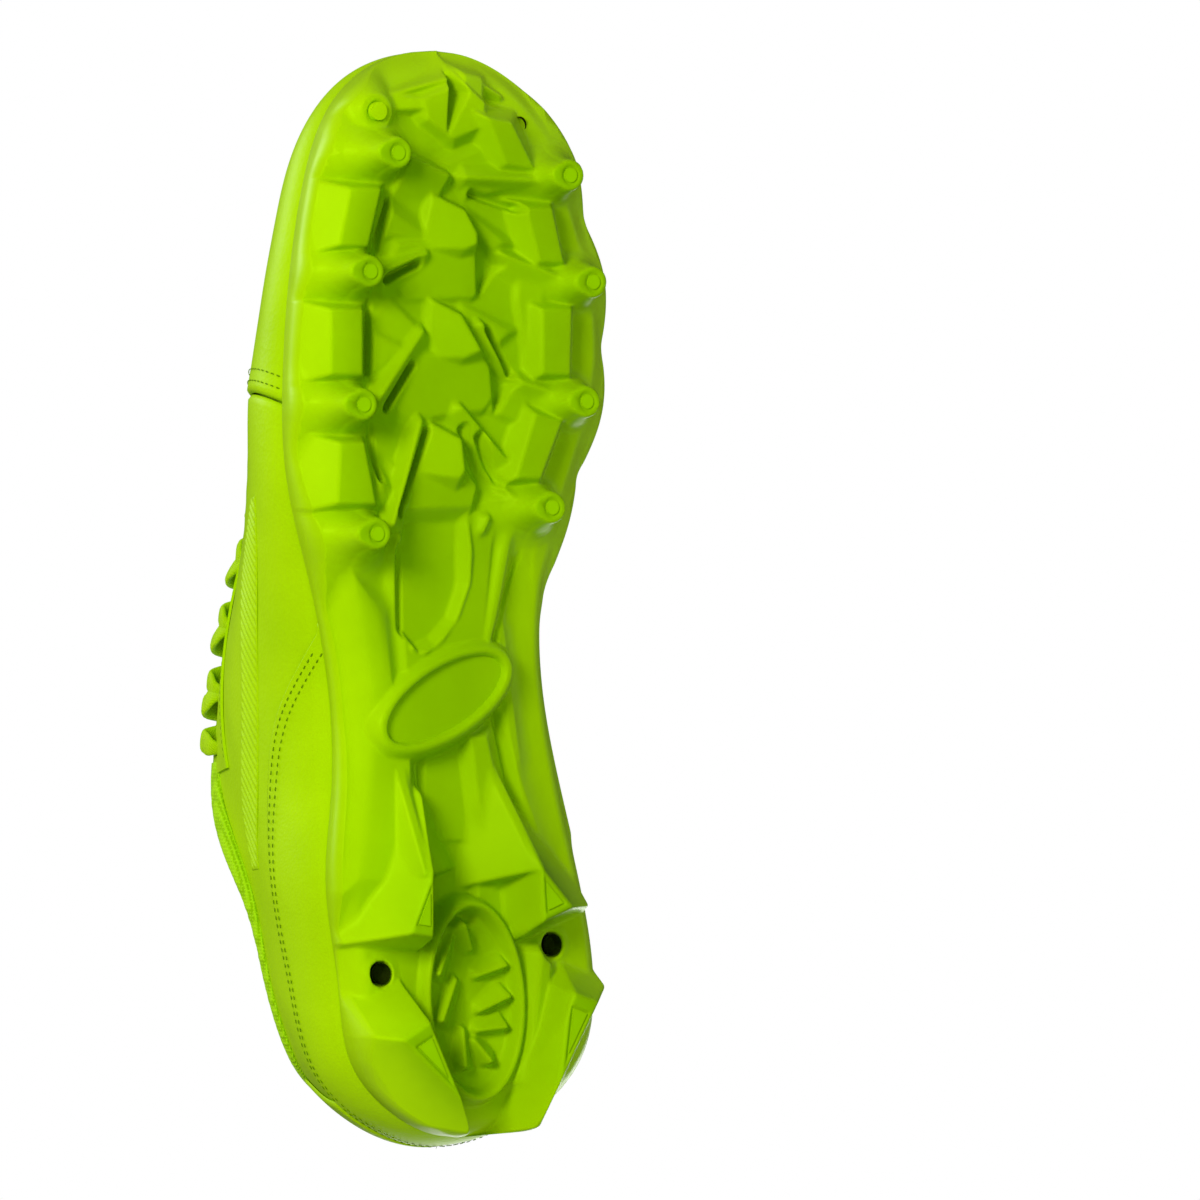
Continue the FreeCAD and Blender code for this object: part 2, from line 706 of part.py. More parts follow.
# ---- lace ----
EYELETS = [26, 9, -8, -25, -40]
LACE_RISE = 3.0          # height of the lace above the tongue


def eyelet_place(x, side):
    """Station and height parameter of a lace hole."""
    u = min((side * (4.5 + k / 50) % LOOP for k in range(280)), key=lambda u: abs(bare_wall(u, 0.91).x - x))
    return u, 0.91


def eyelet_holes():
    """Cutting pins for all lace holes."""
    pins = []
    for side in (1, -1):
        for x in EYELETS:
            u, v = eyelet_place(x, side)
            inner = wall(u, v, -6)
            outer = wall(u, v, 3)
            pins.append(Part.makeCylinder(EYELET, 9, inner, outer - inner))
    return pins


def crown_face(x):
    """Upward direction square to the tongue's sloping crown."""
    along = CROWN.getD1(x)[1]
    return V(-along.z / along.x, 0, 1).normalize()


def lace_end(k, side, v=0.91):
    """Centre of the lace above hole k, or further up the wall at v, and the wall's direction there."""
    u = eyelet_place(EYELETS[k], side)[0]
    point = wall(u, v)
    out = (wall(u, v, 1) - point).normalize()
    return point + out * (GAP + OVERLAY + LACE_THICK / 2 + 1.9), out


def lace_bar(first, first_side, last, last_side):
    """Flat lace from one hole, over the edge of the throat and across the tongue, to another."""
    start, start_out = lace_end(first, first_side)
    end, end_out = lace_end(last, last_side)
    near = lace_end(first, first_side, 1.0)[0]
    far = lace_end(last, last_side, 1.0)[0]
    points = [start, near]
    for t in (0.2, 0.4, 0.6, 0.8):
        point = near * (1 - t) + far * t
        low = tongue_height(point.x, point.y) + LACE_RISE + LACE_THICK / 2
        points.append(V(point.x, point.y, max(low, point.z if t in (0.2, 0.8) else 0)))
    points += [far, end]
    path = Part.BSplineCurve()
    path.interpolate(points)
    count = 22
    wires = []
    for k in range(count + 1):
        t = k / count
        point, along = path.getD1(path.FirstParameter + t * (path.LastParameter - path.FirstParameter))
        face = crown_face(point.x) * math.sin(math.pi * t) * 1.2
        face = face + start_out * (1 - t) ** 2 + end_out * t ** 2
        across = face.cross(along).normalize()
        side = across * (LACE_WIDTH / 2)
        lift = along.cross(across).normalize() * (LACE_THICK / 2)
        corners = [point - side - lift, point + side - lift, point + side + lift, point - side + lift]
        wires.append(Part.makePolygon(corners + corners[:1]))
    return Part.makeLoft(wires, True, True)


def lace():
    """Lace crossed over the tongue, with its turns through the holes."""
    bars = [lace_bar(0, 1, 0, -1)]
    for k in range(len(EYELETS) - 1):
        bars.append(lace_bar(k, 1, k + 1, -1))
        bars.append(lace_bar(k, -1, k + 1, 1))
    for side in (1, -1):
        for k in range(len(EYELETS)):
            over, out = lace_end(k, side)
            bars.append(Part.makeCylinder(EYELET - 0.6, 5.7, over - out * 5.6, out))
    solid = bars[0].fuse(bars[1:])
    return solid


def build():
    """All pieces of the shoe by name."""
    pins = eyelet_holes()
    return {
        "outsole_plate": outsole_plate(),
        "forefoot_stud_tips": forefoot_stud_tips(),
        "heel_stud_tips": heel_stud_tips(),
        "midfoot_badge": midfoot_badge(),
        "toe_boss_plug": toe_boss_plug(),
        "insole_board": insole_board(),
        "sockliner_foam": sockliner_foam(),
        "sockliner_cover": sockliner_cover(),
        "toe_puff": toe_puff(),
        "heel_counter": heel_counter(),
        "vamp": vamp(),
        "lateral_quarter": quarter(1).cut(pins),
        "medial_quarter": quarter(-1).cut(pins),
        "lateral_rib_band": rib_band(1),
        "medial_rib_band": rib_band(-1),
        "lateral_eyestay": eyestay(1).cut(pins),
        "medial_eyestay": eyestay(-1).cut(pins),
        "heel_overlay": heel_overlay(),
        "heel_tab": heel_tab(),
        "collar_padding": collar_padding(),
        "collar_lining": collar_lining(),
        "vamp_lining": vamp_lining().cut(pins),
        "tongue_shell": tongue_layer(0, 1.0),
        "tongue_foam": tongue_layer(1.15, 4.9),
        "tongue_lining": tongue_layer(5.05, 5.75),
        "tongue_lace_keeper": tongue_lace_keeper(),
        "lace": lace(),
    }


def main():
    os.makedirs("parts", exist_ok=True)
    pieces = build()
    box = FreeCAD.BoundBox()
    for shape in pieces.values():
        for point in shape.tessellate(0.3)[0]:
            box.add(point)
    shift = V(-(box.XMin + box.XMax) / 2, -(box.YMin + box.YMax) / 2, 0)
    for name, shape in pieces.items():
        shape.translate(shift)
        shape.exportStep("parts/" + name + ".step")
        print(name, len(shape.Solids), shape.isValid(), round(shape.Volume / 1000, 2))
    print("shift", shift, "size", box.XLength, box.YLength, box.ZLength, box.ZMin)


main()
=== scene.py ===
"""Looks of the soccer cleat: right shoe, +X to the toe, +Y to the inner side, +Z up, in metres."""
import math

import bpy
import numpy as np
from mathutils import Matrix, Vector
from mathutils.bvhtree import BVHTree


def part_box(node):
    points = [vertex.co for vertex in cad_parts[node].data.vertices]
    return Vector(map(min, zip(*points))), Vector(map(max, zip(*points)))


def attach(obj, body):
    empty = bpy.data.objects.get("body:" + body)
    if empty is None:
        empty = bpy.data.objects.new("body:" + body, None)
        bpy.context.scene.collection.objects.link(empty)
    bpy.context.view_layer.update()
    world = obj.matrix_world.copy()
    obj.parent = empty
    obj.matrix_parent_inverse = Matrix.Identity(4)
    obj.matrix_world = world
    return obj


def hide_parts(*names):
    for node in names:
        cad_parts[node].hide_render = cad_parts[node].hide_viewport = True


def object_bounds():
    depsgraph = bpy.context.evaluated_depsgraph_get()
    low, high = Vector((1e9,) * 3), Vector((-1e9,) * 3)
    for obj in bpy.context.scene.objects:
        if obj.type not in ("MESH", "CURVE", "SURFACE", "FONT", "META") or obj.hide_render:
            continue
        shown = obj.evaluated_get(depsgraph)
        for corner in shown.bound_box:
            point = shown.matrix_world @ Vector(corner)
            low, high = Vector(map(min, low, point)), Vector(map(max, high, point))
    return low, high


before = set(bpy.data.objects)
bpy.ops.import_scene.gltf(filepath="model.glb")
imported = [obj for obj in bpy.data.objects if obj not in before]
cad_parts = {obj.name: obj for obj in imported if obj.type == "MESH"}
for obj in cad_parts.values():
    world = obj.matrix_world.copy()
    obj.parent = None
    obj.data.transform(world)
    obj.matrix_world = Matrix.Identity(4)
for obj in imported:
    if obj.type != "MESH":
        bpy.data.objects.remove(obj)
cad_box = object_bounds()

MM = 0.001
BOSS = (125, -19.5)                      # the toe boss in the form's own millimetres
low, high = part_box("toe_boss_plug")
SHIFT = np.array([(low[0] + high[0]) / 2 / MM - BOSS[0], (low[1] + high[1]) / 2 / MM - BOSS[1], 0.0])

# ---------------------------------------------------------------- camera
VIEW_TILT = math.radians(32.0)
CAMERA_DISTANCE = 2.4
FRAME_WIDTH = 1200 / 3.89 * MM
SIDEWAYS = (35.73 + SHIFT[1] * math.cos(VIEW_TILT)) * MM
FORWARD = (SHIFT[0] - 0.386) * MM
SENSOR = 36.0


def add_camera():
    """Camera under the sole, the toe at the top of the picture."""
    look = Vector((0, math.sin(VIEW_TILT), math.cos(VIEW_TILT)))
    up = Vector((1, 0, 0))
    right = look.cross(up)
    camera = bpy.data.cameras.new("camera")
    camera.sensor_width = SENSOR
    camera.lens = SENSOR * CAMERA_DISTANCE / FRAME_WIDTH
    camera.clip_end = 20
    obj = bpy.data.objects.new("camera", camera)
    bpy.context.collection.objects.link(obj)
    obj.location = right * SIDEWAYS + up * FORWARD - look * CAMERA_DISTANCE
    obj.rotation_euler = Matrix((right, up, -look)).transposed().to_euler()
    bpy.context.scene.camera = obj


add_camera()


# ---------------------------------------------------------------- light and floor
def area_light(name, location, size, power):
    light = bpy.data.lights.new(name, "AREA")
    light.shape = "SQUARE"
    light.size = size
    light.energy = power
    obj = bpy.data.objects.new(name, light)
    obj.location = location
    obj.rotation_euler = (Vector((0, 0, 0.03)) - Vector(location)).to_track_quat("-Z", "Y").to_euler()
    bpy.context.collection.objects.link(obj)


def add_lights():
    area_light("key_below", (0.45, -1.15, -0.75), 0.45, 14)
    area_light("fill_below", (-0.3, -0.7, -1.5), 0.9, 4.0)
    area_light("key_above", (0.7, -0.9, 1.5), 0.9, 15)
    area_light("fill_above", (-0.8, 1.1, 1.2), 1.0, 10)


def add_world():
    """White to the camera, softer as light and dim in reflections."""
    world = bpy.data.worlds.new("studio")
    world.use_nodes = True
    nodes, links = world.node_tree.nodes, world.node_tree.links
    nodes.clear()
    out = nodes.new("ShaderNodeOutputWorld")
    mix = nodes.new("ShaderNodeMixShader")
    dim = nodes.new("ShaderNodeMixShader")
    path = nodes.new("ShaderNodeLightPath")
    seen = nodes.new("ShaderNodeBackground")
    lit = nodes.new("ShaderNodeBackground")
    mirrored = nodes.new("ShaderNodeBackground")
    seen.inputs["Color"].default_value = (1, 1, 1, 1)
    seen.inputs["Strength"].default_value = 1.0
    lit.inputs["Color"].default_value = (0.95, 0.97, 1, 1)
    lit.inputs["Strength"].default_value = 0.3
    mirrored.inputs["Strength"].default_value = 0.06
    links.new(path.outputs["Is Glossy Ray"], dim.inputs["Fac"])
    links.new(lit.outputs[0], dim.inputs[1])
    links.new(mirrored.outputs[0], dim.inputs[2])
    links.new(path.outputs["Is Camera Ray"], mix.inputs["Fac"])
    links.new(dim.outputs[0], mix.inputs[1])
    links.new(seen.outputs[0], mix.inputs[2])
    links.new(mix.outputs[0], out.inputs["Surface"])
    bpy.context.scene.world = world
    bpy.context.scene.view_settings.view_transform = "Standard"


def add_floor():
    """Pale floor that is clear when seen from below."""
    mesh = bpy.data.meshes.new("floor")
    half = 1.6
    corners = [(-half, -half, 0), (half, -half, 0), (half, half, 0), (-half, half, 0)]
    mesh.from_pydata(corners, [], [(0, 1, 2, 3)])
    obj = bpy.data.objects.new("floor", mesh)
    obj.location.z = cad_box[0][2] - 0.0002
    obj.visible_shadow = False
    bpy.context.collection.objects.link(obj)
    material = bpy.data.materials.new("floor")
    material.use_nodes = True
    nodes, links = material.node_tree.nodes, material.node_tree.links
    shader = nodes["Principled BSDF"]
    shader.inputs["Base Color"].default_value = (0.86, 0.86, 0.86, 1)
    shader.inputs["Roughness"].default_value = 0.6
    clear = nodes.new("ShaderNodeBsdfTransparent")
    geometry = nodes.new("ShaderNodeNewGeometry")
    mix = nodes.new("ShaderNodeMixShader")
    links.new(geometry.outputs["Backfacing"], mix.inputs["Fac"])
    links.new(shader.outputs[0], mix.inputs[1])
    links.new(clear.outputs[0], mix.inputs[2])
    links.new(mix.outputs[0], nodes["Material Output"].inputs["Surface"])
    mesh.materials.append(material)


add_lights()
add_world()
add_floor()

# ---------------------------------------------------------------- materials
LIME = (0.375, 0.63, 0.0)
LIME_DEEP = (0.32, 0.555, 0.0)
LIME_PALE = (0.43, 0.70, 0.0)
TINT = (0.6, 1.0, 0.02, 1)                # gloss takes the colour of the plastic
# dark stitch colour: partly the yarn's own tone, darkened further as painted shade of the sunk needle holes
THREAD_WITH_PAINTED_SHADE = (0.16, 0.31, 0.0)


class Look:
    """A material and the few shader nodes that the looks below are made of."""

    def __init__(self, name, roughness, specular, sheen=0.0):
        self.material = bpy.data.materials.new(name)
        self.material.use_nodes = True
        self.tree = self.material.node_tree
        self.shader = self.tree.nodes["Principled BSDF"]
        for socket, value in {"Roughness": roughness, "Coat Weight": 0.0, "Coat Roughness": 0.12,
                              "Specular IOR Level": specular, "Specular Tint": TINT, "Coat Tint": TINT,
                              "Sheen Weight": sheen, "Sheen Tint": TINT}.items():
            self.shader.inputs[socket].default_value = value

    def node(self, kind, links=(), **values):
        """New node with its values and with links into its sockets; underscores stand for spaces."""
        node = self.tree.nodes.new("ShaderNode" + kind)
        for socket, value in values.items():
            node.inputs[socket.replace("_", " ")].default_value = value
        for socket, source in dict(links).items():
            self.tree.links.new(source, node.inputs[socket])
        return node

    def coords(self, kind="Object"):
        return self.node("TexCoord").outputs[kind]

    def noise(self, coords, scale, detail):
        return self.node("TexNoise", {"Vector": coords}, Scale=scale, Detail=detail).outputs["Fac"]

    def cells(self, coords, scale):
        return self.node("TexVoronoi", {"Vector": coords}, Scale=scale).outputs["Distance"]

    def bands(self, coords, scale, direction):
        node = self.node("TexWave", {"Vector": coords}, Scale=scale, Distortion=0.6, Detail_Scale=2.0)
        node.bands_direction = direction
        return node.outputs["Fac"]

    def combine(self, first, second, operation="MULTIPLY"):
        node = self.node("Math", {0: first, 1: second})
        node.operation = operation
        return node.outputs[0]

    def colour(self, value, stops):
        """Colours the surface by a value through a ramp of two stops."""
        node = self.node("ValToRGB", {"Fac": value})
        for element, (place, colour) in zip(node.color_ramp.elements, stops):
            element.position = place
            element.color = (*colour, 1)
        self.tree.links.new(node.outputs["Color"], self.shader.inputs["Base Color"])

    def rough(self, value, low, high):
        node = self.node("MapRange", {"Value": value}, To_Min=low, To_Max=high)
        self.tree.links.new(node.outputs["Result"], self.shader.inputs["Roughness"])

    def bumps(self, *layers):
        """Relief of the surface in layers of height, strength and distance in metres."""
        before = None
        for height, strength, distance in layers:
            node = self.node("Bump", {"Height": height}, Strength=strength, Distance=distance)
            if before:
                self.tree.links.new(before, node.inputs["Normal"])
            before = node.outputs["Normal"]
        self.tree.links.new(before, self.shader.inputs["Normal"])


def tpu(name="tpu", deep=LIME_DEEP, plain=LIME, gloss=0.33):
    """Glossy moulded plastic with faint flow marks, scuffs in its gloss and a fine surface texture."""
    look = Look(name, gloss, specular=0.16)
    coords = look.coords()
    look.colour(look.noise(coords, 38, 4), [(0.3, deep), (0.7, plain)])
    look.rough(look.noise(coords, 210, 5), gloss - 0.05, gloss + 0.12)
    look.bumps((look.noise(coords, 1500, 2), 0.08, 0.0002), (look.noise(coords, 160, 2), 0.08, 0.0008))
    return look.material


def leather(name="synthetic", deep=LIME_DEEP, plain=LIME, grain=900):
    """Synthetic leather: fine pebbled grain, satin, slightly uneven in colour."""
    look = Look(name, 0.42, specular=0.1)
    coords = look.coords()
    look.colour(look.noise(coords, 30, 5), [(0.3, deep), (0.68, plain)])
    look.rough(look.noise(coords, 120, 4), 0.34, 0.5)
    look.bumps((look.cells(coords, grain), 0.22, 0.00025), (look.noise(coords, 260, 4), 0.18, 0.0005))
    return look.material


def knit(name, deep, plain, pitch, sheen=0.25):
    """Knitted fabric: fine crossing loops in two directions with a soft sheen."""
    look = Look(name, 0.82, specular=0.2, sheen=sheen)
    coords = look.coords()
    loops = look.combine(look.bands(coords, pitch, "X"), look.bands(coords, pitch, "Z"))
    loops = look.combine(loops, look.bands(coords, pitch, "Y"), "ADD")
    look.colour(loops, [(0.2, deep), (0.9, plain)])
    look.bumps((loops, 0.5, 0.0004), (look.noise(coords, 400, 4), 0.3, 0.0004))
    return look.material


def webbing():
    """Flat woven lace: the weave runs along the lace, whatever way the lace lies."""
    look = Look("lace_weave", 0.7, specular=0.3, sheen=0.3)
    along = look.coords("UV")
    weave = look.combine(look.bands(along, 1.0, "DIAGONAL"), look.bands(along, 2.0, "X"))
    look.colour(weave, [(0.0, LIME_DEEP), (0.6, LIME_PALE)])
    look.bumps((weave, 0.6, 0.0004), (look.noise(look.coords(), 1200, 3), 0.25, 0.0002))
    return look.material


def board(name, deep, plain):
    """Pressed fibre board: long soft streaks and flecks."""
    look = Look(name, 0.75, specular=0.3)
    coords = look.coords()
    fibre = look.combine(look.noise(coords, 90, 6), look.bands(coords, 60, "X"), "ADD")
    look.colour(fibre, [(0.4, deep), (1.0, plain)])
    look.bumps((look.noise(coords, 900, 3), 0.3, 0.0002))
    return look.material


TPU = tpu()
TIP = tpu("tip_tpu", LIME, LIME_PALE, 0.34)
# painted shade: near-black plastic for the cups that stand for the shade deep inside the blind holes
HOLE_PAINTED_SHADE = tpu("hole_shade", (0.006, 0.012, 0.0), (0.012, 0.02, 0.001), 0.6)
LEATHER = leather()
OVERLAY = leather("overlay", LIME_DEEP, LIME, 1300)
FILM = leather("film", LIME_DEEP, LIME, 1800)
LINING = knit("lining", (0.17, 0.36, 0.0), (0.27, 0.55, 0.003), 220)
TONGUE_CLOTH = knit("tongue_cloth", (0.21, 0.43, 0.0), (0.31, 0.61, 0.003), 170)
COLLAR_CLOTH = knit("collar_cloth", (0.22, 0.45, 0.0), (0.32, 0.62, 0.004), 330)
BOARD = board("board", (0.10, 0.19, 0.01), (0.19, 0.33, 0.02))
STIFF = board("stiffener", (0.66, 0.66, 0.62), (0.82, 0.82, 0.78))
WEAVE = webbing()
# stitch material: its dark tones are partly the yarn and partly painted shade of the needle holes
STITCH_WITH_PAINTED_SHADE = knit("thread_with_painted_shade", (0.09, 0.18, 0.0), THREAD_WITH_PAINTED_SHADE, 900, 0.1)

# ---------------------------------------------------------------- the form, in its own millimetres
LIP = 1.6
FLARE = 0.65
LINED = -3.22
FLOOR = [(-150, 24), (-140, 18), (-130, 15), (-115, 13.5), (-85, 13.5), (-60, 14.7), (-30, 15.6),
         (0, 14.6), (25, 12), (45, 11), (100, 11), (120, 12.6), (133, 17), (150, 25)]
LIP_TOP = [(-150, 25), (-138, 22.6), (-120, 20.9), (-85, 20.6), (-60, 21.9), (-30, 22.7), (0, 22),
           (25, 20.6), (45, 20), (100, 20), (120, 21.6), (133, 24.4), (150, 28.5)]
# Rows from heel to toe. Lip: x, lateral y, medial y. Top edge: x, lateral y, medial y, z.
# Wall between them: rise at the lip, reach at the top and drop below the top.
ROWS = [
    (-139.7, 13, 13, -133.5, 13, 13, 77, 17, 5, 19),
    (-135, -4.5, 32.5, -129.5, -1, 27, 70.5, 16, 5, 17),
    (-120, -20.5, 48.5, -119, -14, 38.5, 63, 15, 6, 17),
    (-98, -25, 51.8, -98, -20.5, 43, 64.5, 14, 6, 16),
    (-74, -28, 48, -76, -22.5, 39, 70.5, 15, 6, 18),
    (-48, -25.5, 42.2, -54, -21.6, 30.5, 87.5, 22, 9, 26),
    (-22, -26.5, 37.5, -29, -18, 23, 92.5, 26, 13, 20),
    (4, -32.5, 37.5, -4, -15.5, 20.5, 88, 23, 14, 16),
    (30, -40, 45.4, 20, -13, 19, 78, 18, 15, 13),
    (56, -41.6, 53, 36, -9, 16, 71.0, 18, 22, 10),
    (82, -39.8, 51.8, 41, -5, 12.5, 69.0, 15, 32, 10),
    (106, -35.5, 44.8, 42.8, -2.3, 9.8, 68.2, 14.5, 43, 12),
    (124, -28, 37.5, 43.6, -0.4, 7.6, 67.8, 16, 54, 15),
    (137, -13.5, 25, 44, 1.6, 5.6, 67.7, 18, 60, 18),
    (142, 6.5, 6.5, 44.2, 3.5, 3.5, 67.7, 18, 62, 20),
]
HALF = len(ROWS) - 1
LOOP = 2 * HALF


def hermite(points, slopes, k, t):
    """Cubic between points k and k + 1 with the given slopes, t from 0 to 1."""
    a, b = points[k], points[k + 1]
    return ((2 * t**3 - 3 * t**2 + 1) * a + (t**3 - 2 * t**2 + t) * slopes[k]
            + (3 * t**2 - 2 * t**3) * b + (t**3 - t**2) * slopes[k + 1])


def periodic(points):
    """Smooth closed curve through points at whole-number stations."""
    points = np.array(points, float)
    count = len(points)
    matrix = 4 * np.eye(count) + np.roll(np.eye(count), 1, 0) + np.roll(np.eye(count), -1, 0)
    slopes = np.linalg.solve(matrix, 3 * (np.roll(points, -1, 0) - np.roll(points, 1, 0)))
    points = np.vstack([points, points[:1]])
    slopes = np.vstack([slopes, slopes[:1]])

    def curve(u):
        u = np.asarray(u, float) % count
        k = np.minimum(u.astype(int), count - 1)
        return hermite(points, slopes, k, (u - k)[..., None])
    return curve


def along_x(points):
    """Smooth height over x."""
    xs, zs = np.array(points, float).T
    gap = np.diff(xs)
    matrix = np.eye(len(xs))
    right = np.gradient(zs, xs)
    for i in range(1, len(xs) - 1):
        matrix[i, i - 1:i + 2] = (1 / gap[i - 1], 2 / gap[i - 1] + 2 / gap[i], 1 / gap[i])
        right[i] = 3 * ((zs[i] - zs[i - 1]) / gap[i - 1]**2 + (zs[i + 1] - zs[i]) / gap[i]**2)
    slopes = np.linalg.solve(matrix, right)

    def height(x):
        k = np.clip(np.searchsorted(xs, x) - 1, 0, len(xs) - 2)
        t = (x - xs[k]) / gap[k]
        return ((2 * t**3 - 3 * t**2 + 1) * zs[k] + (t**3 - 2 * t**2 + t) * slopes[k] * gap[k]
                + (3 * t**2 - 2 * t**3) * zs[k + 1] + (t**3 - t**2) * slopes[k + 1] * gap[k])
    return height


def around(lateral, medial):
    """Values round the shoe: heel to toe on the lateral side, and back on the medial side."""
    return [lateral(row) for row in ROWS] + [medial(row) for row in ROWS[HALF - 1:0:-1]]


floor_at = along_x(FLOOR)
lip_at = along_x(LIP_TOP)
outline_at = periodic(around(lambda r: (r[0], r[1], 0), lambda r: (r[0], r[2], 0)))
top_edge = periodic(around(lambda r: (r[3], r[4], r[6]), lambda r: (r[3], r[5], r[6])))
wall_shape = periodic(around(lambda r: r[7:10], lambda r: r[7:10]))
UP = np.array([0.0, 0.0, 1.0])


def unit(vectors):
    return vectors / np.maximum(np.linalg.norm(vectors, axis=-1, keepdims=True), 1e-9)


def outward(u):
    along = outline_at(u + 1e-3) - outline_at(u - 1e-3)
    return unit(np.stack([along[..., 1], -along[..., 0], 0 * along[..., 0]], -1))


def bare_wall(u, v):
    """Upper's outer face: u runs round the shoe, v from the lip (0) to the top edge (1)."""
    out = outward(u)
    foot = outline_at(u)
    foot = foot + UP * lip_at(foot[..., 0])[..., None] - out * LIP
    top = top_edge(u)
    shape = wall_shape(u)
    lean = (foot - top) * (1, 1, 0)
    lean = unit(lean + out * 15)
    first = foot + unit(out * FLARE + UP) * shape[..., 0:1]
    last = top + lean * shape[..., 1:2] - UP * shape[..., 2:3]
    v = np.asarray(v, float)[..., None]
    w = 1 - v
    bent = foot * w**3 + first * (3 * w * w * v) + last * (3 * w * v * v) + top * v**3
    return np.where(v < 0, foot + (first - foot) * (3 * v), bent)


def wall_normal(u, v):
    across = bare_wall(u + 0.02, v) - bare_wall(u - 0.02, v)
    up = bare_wall(u, v + 0.02) - bare_wall(u, v - 0.02)
    return unit(np.cross(across, up))


def wall(u, v, offset=0.0):
    """Point of the upper, moved out from its face by offset (negative is inwards)."""
    u, v = np.broadcast_arrays(np.asarray(u, float), np.asarray(v, float))
    return bare_wall(u, v) + wall_normal(u, v) * np.asarray(offset, float)[..., None]


def place_mm(points):
    return ((np.asarray(points).reshape(-1, 3) + SHIFT) * MM).tolist()


def wavy(x, y, seed, scale):
    """Soft uneven pattern between -1 and 1, the same on every run."""
    random = np.random.default_rng(seed)
    total = 0
    for _ in range(6):
        kx, ky = random.normal(0, 1 / scale, 2)
        total = total + np.sin(kx * x + ky * y + random.uniform(0, 6.28))
    return total / 3.5


# ---------------------------------------------------------------- pieces
def paint(obj, material):
    obj.data.materials.clear()
    obj.data.materials.append(material)


def piece(name, vertices, faces, material, body, slot, nodes=()):
    """Mesh object made of millimetre points, painted, riding on a body and standing for CAD nodes."""
    mesh = bpy.data.meshes.new(name)
    mesh.from_pydata(place_mm(vertices), [], faces)
    mesh.validate()
    mesh.polygons.foreach_set("use_smooth", [True] * len(mesh.polygons))
    obj = bpy.data.objects.new(name, mesh)
    bpy.context.collection.objects.link(obj)
    paint(obj, material)
    if nodes:
        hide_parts(*nodes)
    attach(obj, body)
    return obj


def grid_faces(rows, columns, start=0, flip=False):
    faces = []
    for i in range(rows - 1):
        for j in range(columns - 1):
            a = start + i * columns + j
            quad = (a, a + columns, a + columns + 1, a + 1)
            faces.append(quad[::-1] if flip else quad)
    return faces


def tube_faces(rings, count, start=0):
    """Faces between rings of count points that follow each other."""
    faces = []
    for i in range(rings - 1):
        for j in range(count):
            a, b = start + i * count + j, start + i * count + (j + 1) % count
            faces.append((a, b, b + count, a + count))
    return faces


def closed_grids(outer, inner):
    """Vertices and faces of the solid between two grids of points."""
    rows, columns = outer.shape[:2]
    count = rows * columns
    faces = grid_faces(rows, columns) + grid_faces(rows, columns, count, True)
    rim = ([(i, 0) for i in range(rows - 1)] + [(rows - 1, j) for j in range(columns - 1)]
           + [(i, columns - 1) for i in range(rows - 1, 0, -1)]
           + [(0, j) for j in range(columns - 1, 0, -1)])
    rim = [i * columns + j for i, j in rim]
    for a, b in zip(rim, rim[1:] + rim[:1]):
        faces.append((a, count + a, count + b, b))
    return np.vstack([outer.reshape(-1, 3), inner.reshape(-1, 3)]), faces


def edge_distance(points):
    """Distance in mm of each grid point from the nearest edge of the grid."""
    best = None
    for axis in (0, 1):
        steps = np.linalg.norm(np.diff(points, axis=axis), axis=-1)
        ahead = np.insert(np.cumsum(steps, axis=axis), 0, 0, axis=axis)
        total = np.take(ahead, [-1], axis=axis)
        near = np.minimum(ahead, total - ahead)
        best = near if best is None else np.minimum(best, near)
    return best


def panel(name, place, across, up, inner, outer, material, slot, nodes, relief, rounding):
    """Sheet piece on the upper's wall with rounded edges; relief(u, v, points) adds height in mm."""
    s, t = np.meshgrid(np.linspace(0, 1, across + 1), np.linspace(0, 1, up + 1), indexing="ij")
    u, v = place(s, t)
    base = wall(u, v, inner)
    edge = np.minimum(edge_distance(base) / rounding, 1)
    height = (outer - inner) * (0.35 + 0.65 * np.sqrt(1 - (1 - edge)**2))
    height = height + relief(u, v, base) * edge
    return piece(name, *closed_grids(wall(u, v, inner + height), base), material, "shoe", slot, nodes)


def path_points(u, v, offset, pitch):
    """Points, directions and normals at equal steps along a line on the wall."""
    line = wall(u, v, offset)
    length = np.insert(np.cumsum(np.linalg.norm(np.diff(line, axis=0), axis=-1)), 0, 0)
    places = np.arange(pitch / 2, length[-1], pitch)
    us = np.interp(places, length, u)
    vs = np.interp(places, length, v)
    ahead = np.interp(places + 0.2, length, u), np.interp(places + 0.2, length, v)
    points = wall(us, vs, offset)
    along = unit(wall(*ahead, offset) - points)
    return points, along, wall_normal(us, vs)


def stitches(name, lines, pitch=2.1, length=1.15, width=0.36, offset=0.95):
    """Rows of short sunk stitches, dark partly in the yarn's own colour and partly as painted shade of the
    needle holes; lines are (u, v) arrays.
    """
    ring = [(math.cos(a) * 0.5, math.sin(a) * 0.5) for a in np.arange(6) * math.pi / 3]
    vertices, faces = [], []
    for u, v in lines:
        for point, along, normal in zip(*path_points(u, v, offset, pitch)):
            side = np.cross(normal, along)
            start = len(vertices)
            vertices.append(point - along * length / 2 - normal * 0.15)
            for step, size in ((-0.42, 0.6), (-0.2, 1.0), (0.2, 1.0), (0.42, 0.6)):
                for a, b in ring:
                    away = (side * a + normal * b * 0.8) * width * size
                    vertices.append(point + along * length * step + away)
            vertices.append(point + along * length / 2 - normal * 0.15)
            for k in range(6):
                following = (k + 1) % 6
                faces.append((start, start + 1 + following, start + 1 + k))
                for r in range(3):
                    a = start + 1 + 6 * r
                    faces.append((a + k, a + following, a + 6 + following, a + 6 + k))
                faces.append((start + 19 + k, start + 19 + following, start + 25))
    return piece(name, np.array(vertices), faces, STITCH_WITH_PAINTED_SHADE, "shoe", "synthetic")


